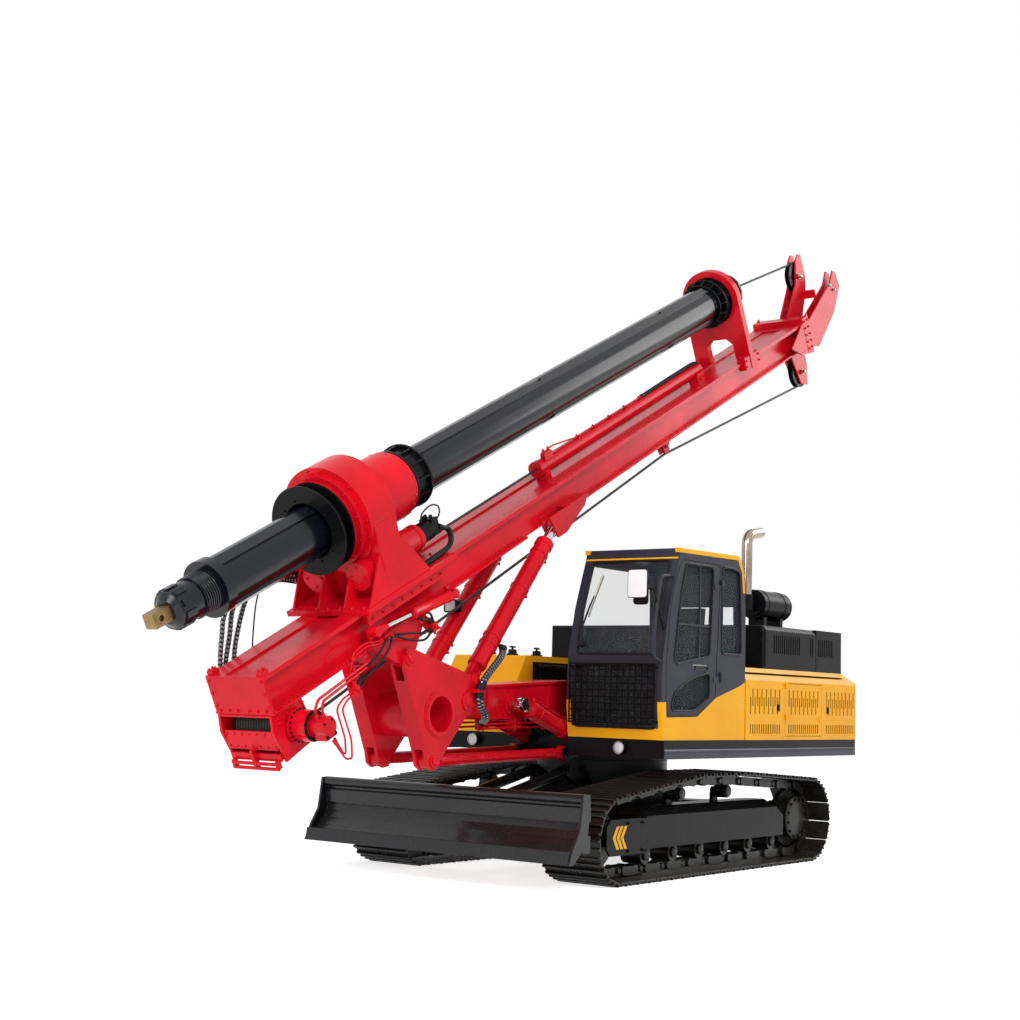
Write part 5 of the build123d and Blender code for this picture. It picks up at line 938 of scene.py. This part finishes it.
class RIG_OT_fasteners(bpy.types.Operator):
    """Bolt rows on mast, winch, drive, guide, bracket and blade, with the pins' lock plates"""
    bl_idname = "rig.fasteners"
    bl_label = "Fasteners"

    def execute(self, context):
        big = context.scene.rig_sizes.bolt * 1000
        small = 0.6 * big
        up, down, ahead, back, left = (0, 0, 1), (0, 0, -1), (1, 0, 0), (-1, 0, 0), (0, -1, 0)
        heads = []
        for d in SIDES:
            for places, way in (
                    ([(s, d * 300, -1002) for s in row(-70, 1120, 14)], up),
                    ([(s, d * w, -672) for s in (-64, -26) for w in (246, 278)], up),
                    ([(-100, d * w, -985) for w in (60, 150, 240)], back),
                    ([(-100, d * 276, t) for t in row(-950, -740, 3)], back),
                    ([(s, d * 274, -1034) for s in row(-80, 200, 4)], down),
                    ([(s, d * 286, t) for s in row(-60, 220, 4) for t in (-1060, -1100)], (0, d, 0)),
                    ([(s, d * 330, t) for s in (9660, 9750) for t in row(-1020, -690, 5)], (0, d, 0))):
                heads.append(bolts(small, places, way))
        mast_piece("mast_bolts", join(*heads), "red_paint", "mast")
        nuts = [bolts(1.4 * big, [(s, d * 72, t)], (0, d, 0)) for s, t in (ROPE["head"], ROPE["rear"]) for d in SIDES]
        nuts += [bolts(0.8 * big, [(6490, d * 50, -1150)], (0, d, 0)) for d in SIDES]
        nuts.append(bolts(big, [(10600, -292, -480), (10700, -292, -560)], left))
        mast_piece("head_nuts", join(*nuts), "plated_steel", "mast")
        heads = [bolt_ring(small, (110, -470, -1198), left, 106, 12),
                 bolt_ring(0.7 * small, (110, -330, -1198), left, 126, 20),
                 lay(washer(96, 116, 0, 10, 40), (110, -470, -1198), left),
                 bolts(small, [(s, -610, t) for s in (66, 154) for t in (-1270, -1160)], left)]
        mast_piece("winch_bolts", join(*heads), "black_paint", "mast")
        heads = [bolt_ring(0.8 * small, (1330, 0, 0), back, 428, 18, 0.15),
                 bolt_ring(0.7 * small, (1270, 0, 0), back, 384, 12, 0.1),
                 bolt_ring(small, (2120, 0, 0), ahead, 291, 20),
                 bolts(small, [(1056, w, -660) for w in row(-380, 380, 7)], up),
                 bolts(small, [(2222, w, -660) for w in (-380, -280, -180, 180, 280, 380)], up)]
        for d in SIDES:
            heads += [bolt_ring(0.7 * small, (1710, d * 235, -430), ahead, 141, 16),
                      bolt_ring(0.7 * small, (2030, d * 235, -430), ahead, 101, 10),
                      bolts(small, [(s, d * 338, -790) for s in row(1170, 2100, 8)], (0, d, 0)),
                      bolts(small, [(1240, d * 240 + w, -460 + t) for w, t in ((-78, 0), (78, 0), (0, -78), (0, 78))],
                            back)]
        mast_piece("drive_bolts", join(*heads), "red_paint", "drive")
        heads = [bolt_ring(small, (s, 0, 0), (d, 0, 0), 267, 24) for s, d in ((2402, 1), (2192, -1))]
        mast_piece("sleeve_bolts", join(*heads), "black_paint", "sleeve")
        heads = []
        for d in SIDES:
            heads += [bolts(small, [(s, d * w, -666) for s in (8046, 8086, 8300, 8352) for w in (276, 322)], up),
                      bolts(small, [(s, d * 342, t) for s in (8050, 8350) for t in (-700, -770)], (0, d, 0))]
        mast_piece("guide_bolts", join(*heads), "red_paint", "guide")
        mast_piece("bearing_bolts", bolt_ring(0.6 * small, (8028, 0, 0), back, 263, 14, 0.22), "black_paint", "guide")
        # pin ends: a domed cap, a lock plate and its two bolts
        dome = lathe([(34, -6), (34, 4), (28, 9), (0.01, 10)], 28)
        lock = join(prism([(24, 0), (92, 0), (92, 7), (24, 7)], -20, 20),
                    stamp(bolt(14), [(74, -10, 7), (74, 10, 7)], np.eye(3)))
        heads = []
        for x, z, turn, locked in BRACKET_PINS:
            away = np.array([math.cos(math.radians(turn)), 0, math.sin(math.radians(turn))])
            for d in SIDES:
                out = (0, d, 0)
                heads.append(lay(dome, (x, d * 360.0, z), out))
                if locked:
                    heads.append(stamp(lock, [(x, d * 354.0, z)], np.stack([away, np.cross(out, away), out])))
        piece("bracket_pins", join(*heads), "red_paint", "bracket", bevel=1.5)
        piece("blade_bolts", bolts(0.8 * big, [(2596, y, 300) for y in row(-1380, 1380, 24)], (1, 0, 0.1)),
              "black_paint", "blade")
        return {"FINISHED"}


# ---- Cab trim
# outlines in X and Z of the cab's left side ("out") and right side ("in"), and the front's profile
CAB = {"out": 1406.0, "in": 386.0,
       "door": [(1100, 1443), (1129, 1578), (1140, 1876), (1083, 2401), (985, 2700), (915, 2815), (850, 2862),
                (190, 2862), (206, 2372), (235, 1974), (252, 1620), (584, 1448)],
       "upper": [(373, 1996), (964, 1908), (1004, 1959), (951, 2277), (885, 2625), (814, 2831), (358, 2835),
                 (316, 2805)],
       "lower": [(369, 1847), (362, 1618), (639, 1493), (1026, 1489), (1041, 1554), (981, 1659), (778, 1755),
                 (596, 1814)],
       "quarter": [(150, 2030), (150, 2850), (-90, 2850), (-190, 2815), (-235, 2034)],
       "side": [(1100, 1960), (1075, 2180), (1030, 2400), (950, 2640), (880, 2830), (-180, 2830), (-225, 2600),
                (-235, 1960)],
       "rear": [(-306, 500, 2014), (-306, 1292, 2014), (-300, 1292, 2596), (-300, 500, 2596)],
       "front": [(1212, 1740), (1195, 2003), (1162, 2135), (1105, 2400), (1012, 2675), (945, 2860)],
       "grid": [(1170, 1229), (1205, 1500), (1212, 1740), (1195, 2003)]}
SEAL = [(-11, -4), (11, -4), (11, 4), (5, 9), (-5, 9), (-11, 4)]
FRONT_OUT = (1, 0, 0.2)
RAIL_TOP, RAIL_FOOT = (1372, 2705), (1376, 1925)


def on_front(y, z, out=0.0, profile="front"):
    """A point on the cab's front: X from a profile at z, moved out by a distance."""
    x, level = np.asarray(CAB[profile], float).T
    return np.stack(np.broadcast_arrays(np.interp(z, level, x) + out, y, z), -1)


class RIG_OT_cab_trim(bpy.types.Operator):
    """Rubber seals, wiper, rails, controls and the yellow roof line of the cab"""
    bl_idname = "rig.cab_trim"
    bl_label = "Cab trim"

    def execute(self, context):
        seals = [hoop(flat(CAB[key], CAB["out"]), SEAL, corner=55.0) for key in ("upper", "lower")]
        piece("door_window_seals", join(*seals), "hose_rubber", "cab_door", smooth=50)
        edge = [(-4, -10), (4, -10), (4, 2.5), (-4, 2.5)]
        piece("door_seal", hoop(flat(CAB["door"], CAB["out"]), edge), "hose_rubber", "upper", smooth=50)
        seals = [hoop(flat(CAB["quarter"], CAB["out"]), SEAL, corner=55.0),
                 hoop(flat(CAB["side"], CAB["in"]), [(a, -b) for a, b in SEAL], corner=55.0)]
        across = np.repeat([470.0, 1322.0], 9)
        for low, high, profile in ((1990, 2850, "front"), (1330, 1890, "grid")):
            level = np.concatenate([row(low, high, 9), row(high, low, 9)])
            seals.append(hoop(on_front(across, level, 2.0, profile), SEAL, (0.96, 0.0, 0.28)))
        seals.append(hoop(CAB["rear"], SEAL, (-1, 0, 0)))
        piece("cab_seals", join(*seals), "hose_rubber", "upper", smooth=50)
        # wiper: motor housing, arm and blade on the windshield
        arm = [on_front(520, 2100, 26), on_front(516, 2200, 34), on_front(556, 2380, 32), on_front(590, 2520, 26)]
        hub = lay(lathe([(34, -20), (34, 12), (26, 24), (0.01, 26)], 24), on_front(520, 2082, 4), FRONT_OUT)
        piece("wiper_arm", join(tube(smooth_path(arm, 20), 9, 8), hub), "trim_plastic", "upper", smooth=50)
        blade = carry(on_front(row(556, 632, 12), row(2330, 2716, 12), 18.0), [(-13, -6), (13, -6), (9, 10), (-9, 10)])
        piece("wiper_blade", blade, "plated_steel", "upper", smooth=50)
        # grab rail on the front left post
        rail = [(1196, 1376, 2690), (1262, 1378, 2460), (1302, 1380, 2180), (1308, 1380, 1960)]
        ends = on_front(*RAIL_TOP, -6), on_front(*RAIL_FOOT, -6)
        piece("grab_rail", pipe([ends[0], *rail, ends[1]], 13.0, 40.0), "charcoal_paint", "upper", smooth=60)
        foot = lathe([(24, -4), (24, 5), (15, 9)], 20)
        feet = [lay(foot, on_front(*at, -2), FRONT_OUT) for at in (RAIL_TOP, RAIL_FOOT)]
        piece("grab_rail_feet", join(*feet), "charcoal_paint", "upper")
        # yellow line under the roof's front edge
        line = carry(on_front(row(396, 1396, 6), 2868.0, 1.0), [(-9, 0), (9, 0), (7, 5), (-7, 5)], (0.9, 0, 0.35))
        piece("roof_line", line, "yellow_paint", "upper")
        # lining of the lower walls and the floor mat
        lining = [block(-255, 1096, 433, 436, 1282, 1945), block(-268, -264.5, 440, 1350, 1282, 1985),
                  block(-250, 1110, 440, 1350, 1276, 1280)]
        piece("cab_lining", join(*lining), "trim_plastic", "upper", bevel=1.0)
        outline = rounded(flat([(428, 1866), (682, 1866), (682, 1916), (428, 1916)], 0), 22.0)[:, [0, 2]]
        piece("handle_plate", prism(outline, 1406.2, 1409), "plated_steel", "cab_door", bevel=0.8)
        # controls: two travel levers with their pedals and a display on the front post
        parts = []
        for y in (850, 940):
            lever = smooth_path([(1010, y, 1290), (1000, y, 1500), (940, y, 1760), (900, y, 1830)], 16)
            parts += [tube(lever, 9, 8),
                      lay(lathe([(16, -10), (18, 30), (16, 70), (0.01, 78)], 16), (905, y, 1815), (-0.4, 0, 1)),
                      prism([(960, 1278), (1080, 1300), (1080, 1312), (960, 1290)], y - 38, y + 38)]
        parts.append(prism([(1080, 2020), (1108, 2026), (1060, 2230), (1034, 2224)], 500, 640))
        piece("cab_controls", join(*parts), "trim_plastic", "upper", bevel=2.0)
        return {"FINISHED"}


# ---- House trim
# panels run from x to x: front, side door, rear; rows are low, high, pitch and offset of the pressed slots
SLOTS = {"wide": 24.0, "floor": 1404.0, "panels": ((-1035.0, -395.0), (-1885.0, -1192.0), (-2732.0, -2040.0)),
         "rows": ((1555.0, 1721.0, 92.0, 0.0), (1479.0, 1645.0, 92.0, 0.5), (1288.0, 1380.0, 46.0, 0.0))}
TANK_TOP = 2044.0


def painted_shade_sheets(first, last, side):
    """Painted shade for one panel's pressed slots: thin dark sheets on the slot floors, boxes stamped at every slot of
    the three rows.
    """
    out = []
    for low, high, pitch, offset in SLOTS["rows"]:
        count = int((last - first - offset * pitch - SLOTS["wide"]) / pitch) + 1
        x = first + (np.arange(count) + offset) * pitch
        sheet = block(0.6, SLOTS["wide"] - 0.6, 0.1, 1.2, low + 0.6, high - 0.6)
        places = np.stack([x, np.full(count, side * SLOTS["floor"]), np.zeros(count)], -1)
        out.append(stamp(sheet, places, np.diag([1.0, side, 1.0])))
    return join(*out)


class RIG_OT_house_trim(bpy.types.Operator):
    """Painted shade in the slots, latches, tank caps, deck edge moulding and the louvred panel of the tank"""
    bl_idname = "rig.house_trim"
    bl_label = "House trim"

    def execute(self, context):
        named = ((1, "left"), (-1, "right"))
        front, door, rear = SLOTS["panels"]
        # painted shade: dark sheets on the floors of the pressed slots stand in for the shade inside them, on the
        # fixed panels and on the doors
        fixed = [painted_shade_sheets(*panel, s) for panel in (front, rear) for s in SIDES]
        piece("house_slot_painted_shade", join(*fixed), "slot_painted_shade", "upper")
        for s, name in named:
            piece("door_slot_painted_shade_" + name, painted_shade_sheets(*door, s), "slot_painted_shade", "side_door_" + name)
        # rounded moulding along the lower half of the deck's skirt
        section = [(50, 0), (47, 4), (24, 12), (8, 12), (-34, 2), (-34, 0)]
        mould = [carry([(-2745, s * 1411, 1100), (-1000, s * 1411, 1100), (front_end, s * 1411, 1100)], section,
                       (0, s, 0)) for s, front_end in ((1, 1162), (-1, 850))]
        piece("skirt_moulding", join(*mould), "charcoal_paint", "upper", bevel=2.0)
        # latches: a dished plate with a folding tee
        latch = join(prism([(-26, -34), (26, -34), (26, 34), (-26, 34)], 0, 4),
                     prism([(-16, -22), (16, -22), (16, -8), (5, -4), (5, 22), (-5, 22), (-5, -4), (-16, -8)], 4, 11))
        for s, name in named:
            made = stamp(latch, [(x, s * 1412.5, z) for x, z in ((-997, 1543), (-2101, 1528))],
                         np.diag([1.0, s, 1.0]))
            piece("latches_" + name, made, "black_paint", "upper", bevel=1.0)
        # louvred black panel on the tank's inner side
        face = join(block(-285, 500, -519.5, -474, 1236, 1925), block(-262, 478, -474, -468, 1262, 1900))
        blades = stamp(block(-6, 6, -468.5, -452, 1280, 1882), [(x, 0, 0) for x in row(-245, 460, 19)], np.eye(3))
        piece("tank_louvre_panel", join(face, blades), "black_paint", "upper", bevel=3.0)
        # filler caps on the tank, each with a tee handle
        cap = lathe([(60, -58), (60, -34), (56, -30), (44, -30), (44, 0), (38, 8), (12, 12), (10, 34), (0.01, 36)], 36)
        handle = tube([(-44, 0, 32), (-20, 0, 36), (20, 0, 36), (44, 0, 32)], 9, 10)
        both = stamp(join(cap, handle), [(x, -900, TANK_TOP) for x in (330, -90)], np.eye(3))
        piece("tank_caps", both, "black_paint", "upper", smooth=50)
        return {"FINISHED"}


# ---- Lamps
DECK_LAMPS = ((1219, 975, 1150), (852, -968, 1150))
WORK_LAMP = np.array([2148.8, -265, 2373.9])
# inner and outer edge of the mirror head in Y, lower and upper in Z
MIRROR = (1132, 1338, 2478, 2733)


class RIG_OT_lamps(bpy.types.Operator):
    """Pressed lenses of deck lamps and work lamp, and the mirror glass"""
    bl_idname = "rig.lamps"
    bl_label = "Lamps"

    def execute(self, context):
        lens = lathe([(49, 0), (49, 3), (38, 8), (20, 11), (0.01, 12)], 40)
        rim = washer(49.5, 58, 0, 3.5, 40)
        piece("deck_lamp_lenses", join(*[lay(lens, at, (1, 0, 0)) for at in DECK_LAMPS]), "lens", "upper", smooth=50)
        piece("deck_lamp_rings", join(*[lay(rim, (x + 6.5, y, z), (1, 0, 0)) for x, y, z in DECK_LAMPS]),
              "plated_steel", "upper")
        glass = join(block(0, 4, -56, 56, -46, 46), block(4, 6.5, -50, 50, -40, 40))
        piece("work_lamp_lens", stamp(glass, [WORK_LAMP], np.eye(3)), "lens", "tilt_barrels", bevel=1.5)
        # ribs of the pressed lens
        ribs = join(*[block(6.5, 8, y - 3, y + 3, -38, 38) for y in row(-42, 42, 7)])
        piece("work_lamp_ribs", stamp(ribs, [WORK_LAMP], np.eye(3)), "lens", "tilt_barrels")
        # mirror head: a shell in front of the bracket's plate, with the glass set into its rim
        inner, outer, low, high = MIRROR
        # the mirror's face is near white: a painted reflection
        for name, finish, x0, x1, inset in (("mirror_shell", "trim_plastic", 1363, 1374, 0.0),
                                            ("mirror_face", "mirror_glass", 1374.2, 1376, 6.0)):
            outline = rounded([(0, inner + inset, low + inset), (0, outer - inset, low + inset),
                               (0, outer - inset, high - inset), (0, inner + inset, high - inset)], 30.0)
            points, faces = prism(outline[:, 1:], x0, x1)
            piece(name, (points[:, [1, 0, 2]], faces), finish, "upper", bevel=1.0)
        return {"FINISHED"}


# ---- Drive and mast extras, in the mast's frame
LOCK_EYE, LOCK_FOOT = np.array([1584, -368, -934.0]), np.array([2106, -368, -994.0])
# plugs of the lock's valve blocks: place and direction
LOCK_PLUGS = (((1804, -375, -1138), (0, -1, 0)), ((1838, -375, -1168), (0, -1, 0)), ((1821, -345, -1190), (0, 0, -1)),
              ((1225, -372, -985), (0, -1, 0)), ((1275, -372, -985), (0, -1, 0)), ((740, -352, -1200), (0, -1, 0)),
              ((776, -352, -1238), (0, -1, 0)), ((1786, -345, -1150), (-1, 0, 0)), ((1856, -345, -1150), (1, 0, 0)))
LOCK_HOSES = (
    [(1836, -345, -1116), (1838, -346, -1060), (1790, -372, -1010), (1740, -378, -986)],
    [(1806, -345, -1116), (1800, -350, -1070), (1700, -372, -1040), (1640, -376, -986)],
    [(1786, -345, -1150), (1690, -352, -1150), (1560, -380, -1090), (1400, -380, -1030), (1300, -360, -985)],
    [(1786, -350, -1176), (1650, -372, -1190), (1480, -392, -1120), (1360, -385, -1040), (1300, -350, -996)],
    [(1225, -380, -985), (1160, -396, -1000), (1060, -380, -1060), (900, -352, -1110), (790, -350, -1180)],
    [(1275, -380, -990), (1210, -402, -1040), (1080, -392, -1110), (900, -372, -1160), (800, -340, -1225)])
LOCK_PIPES = (
    [(1180, -356, -975), (1100, -352, -968), (990, -350, -920), (840, -345, -940), (790, -345, -1010),
     (770, -340, -1180)],
    [(1180, -366, -990), (1110, -366, -990), (980, -364, -944), (820, -360, -965), (750, -350, -1040),
     (745, -344, -1180)],
    [(720, -330, -1220), (600, -330, -1220), (505, -330, -1260), (490, -345, -1500), (360, -440, -1560),
     (220, -560, -1480), (170, -570, -1330)],
    [(720, -345, -1240), (640, -345, -1240), (548, -345, -1280), (530, -365, -1540), (380, -470, -1610),
     (200, -590, -1520), (130, -590, -1330)])


class RIG_OT_mast_extras(bpy.types.Operator):
    """Dirt shield, bearing cage, winch guard, feed lock cylinder and its valves"""
    bl_idname = "rig.mast_extras"
    bl_label = "Mast extras"

    def execute(self, context):
        ahead, back, left = (1, 0, 0), (-1, 0, 0), (0, -1, 0)
        shield = [lay(washer(236, 378, 0, 14, 96), (1090, 0, 0), ahead),
                  lay(washer(234, 296, 0, 106, 72), (1103.5, 0, 0), ahead),
                  bolt_ring(16, (1090, 0, 0), back, 262, 10, 0.2)]
        mast_piece("dirt_shield", join(*shield), "black_paint", "sleeve", bevel=1.5)
        # bearing cage: gussets between a front ring and the bearing's flange
        gusset = prism([(7932, 230), (7932, 242), (8018, 276), (8027, 276), (8027, 232), (7950, 230)], -6, 6)
        a = np.arange(14) * math.tau / 14
        radial = np.stack([np.zeros(14), np.cos(a), np.sin(a)], -1)
        axes = np.stack([np.broadcast_to((1.0, 0, 0), radial.shape), np.cross(radial, ahead), radial], 1)
        rings = [lay(washer(230, 243, 0, 14, 64), (7926, 0, 0), ahead),
                 lay(washer(262, 277, 0, 10, 64), (8017, 0, 0), ahead)]
        mast_piece("bearing_cage", join(stamp(gusset, np.zeros((14, 3)), axes), *rings), "black_paint", "guide",
                   bevel=1.0)
        # plate over the lower half of the winch's window, with its link to the rope guard
        plate = join(block(-118, -110.5, -262, 262, -1298, -1144), block(-158, -112, -14, 14, -1392, -1290),
                     block(-122, -118, -262, 262, -1160, -1144), block(-122, -118, -262, 262, -1298, -1284))
        heads = bolts(16, [(-118, w, t) for w in row(-240, 240, 7) for t in (-1172, -1272)], back)
        mast_piece("winch_guard", join(plate, heads), "red_paint", "mast", bevel=1.5)
        # feed lock cylinder along the mast's side: rod eye, rod, barrel with two bands
        way = unit(LOCK_FOOT - LOCK_EYE)
        eye = LOCK_EYE - way * 400
        turned_parts = [
            ([(44, 0), (50, 6), (50, 40), (46, 46), (46, 470), (50, 476), (50, 516), (38, 525), (0.01, 526)], 40,
             LOCK_EYE, way),
            ([(34, -60), (40, -54), (40, 20), (30, 28), (30, 76), (22, 80)], 28, eye, way),
            ([(40, -46), (44, -42), (44, 42), (40, 46)], 28, eye + (-70, 0, 8), left),
            ([(40, -30), (44, -26), (44, 26), (40, 30)], 28, LOCK_FOOT + way * 60, left)]
        blocks = [block(1080, 1140, -322, -300.5, -965, -855), block(2136, 2196, -322, -300.5, -1035, -925),
                  block(1100, 1130, -330, -318, -930, -890), block(2150, 2180, -340, -318, -1015, -975)]
        mast_piece("lock_cylinder", join(*[lay(lathe(profile, sides), at, along)
                                           for profile, sides, at, along in turned_parts], *blocks),
                   "red_paint", "mast", bevel=1.5, smooth=50)
        mast_piece("lock_rod", lay(lathe([(22, -330), (22, 4)], 28), LOCK_EYE, way), "chrome_rod", "mast", smooth=50)
        # valve blocks with plugs, on straps from the hinge lugs
        valves = [prism([(1690, -1030), (1800, -1030), (1856, -1108), (1856, -1192), (1786, -1192)], -317, -305.5),
                  block(1786, 1856, -375, -316, -1190, -1116), block(1200, 1300, -372, -318, -1010, -960),
                  block(720, 800, -352, -316, -1260, -1180), block(700, 820, -318, -312, -1270, -1003),
                  block(1180, 1320, -319, -312, -1017, -950)]
        plug = lathe([(15, -2), (15, 14), (11, 18), (11, 28), (0.01, 29)], 6)
        plugs = [lay(plug, at, out) for at, out in LOCK_PLUGS]
        mast_piece("lock_valves", join(*valves, *plugs), "red_paint", "mast", bevel=1.5)
        mast_piece("lock_hoses", join(*[hose(line, 10.0, 30) for line in LOCK_HOSES]), "hose_rubber", "mast",
                   smooth=60)
        mast_piece("lock_pipes", join(*[pipe(line, 8.0, 45.0) for line in LOCK_PIPES]), "red_paint", "mast",
                   smooth=60)
        return {"FINISHED"}


# ---- Add-on
GROUPS = (RigSizes, RigColours)
STEPS = (RIG_OT_stage, RIG_OT_finishes, RIG_OT_tracks, RIG_OT_ropes, RIG_OT_hydraulics, RIG_OT_fasteners,
         RIG_OT_cab_trim, RIG_OT_house_trim, RIG_OT_lamps, RIG_OT_mast_extras)


class RIG_PT_panel(bpy.types.Panel):
    bl_idname = "RIG_PT_panel"
    bl_label = "Piling rig"
    bl_space_type = "VIEW_3D"
    bl_region_type = "UI"
    bl_category = "Piling rig"

    def draw(self, context):
        for group, held in zip(GROUPS, (context.scene.rig_sizes, context.scene.rig_colours)):
            for key in group.__annotations__:
                self.layout.prop(held, key)
        for step in STEPS:
            self.layout.operator(step.bl_idname)


CLASSES = (*GROUPS, *STEPS, RIG_PT_panel)


def register():
    for one in CLASSES:
        bpy.utils.register_class(one)
    bpy.types.Scene.rig_sizes = bpy.props.PointerProperty(type=RigSizes)
    bpy.types.Scene.rig_colours = bpy.props.PointerProperty(type=RigColours)


def unregister():
    del bpy.types.Scene.rig_colours, bpy.types.Scene.rig_sizes
    for one in reversed(CLASSES):
        bpy.utils.unregister_class(one)


def main():
    register()
    for step in STEPS:
        getattr(bpy.ops.rig, step.bl_idname.removeprefix("rig."))()


if __name__ == "__main__":
    main()
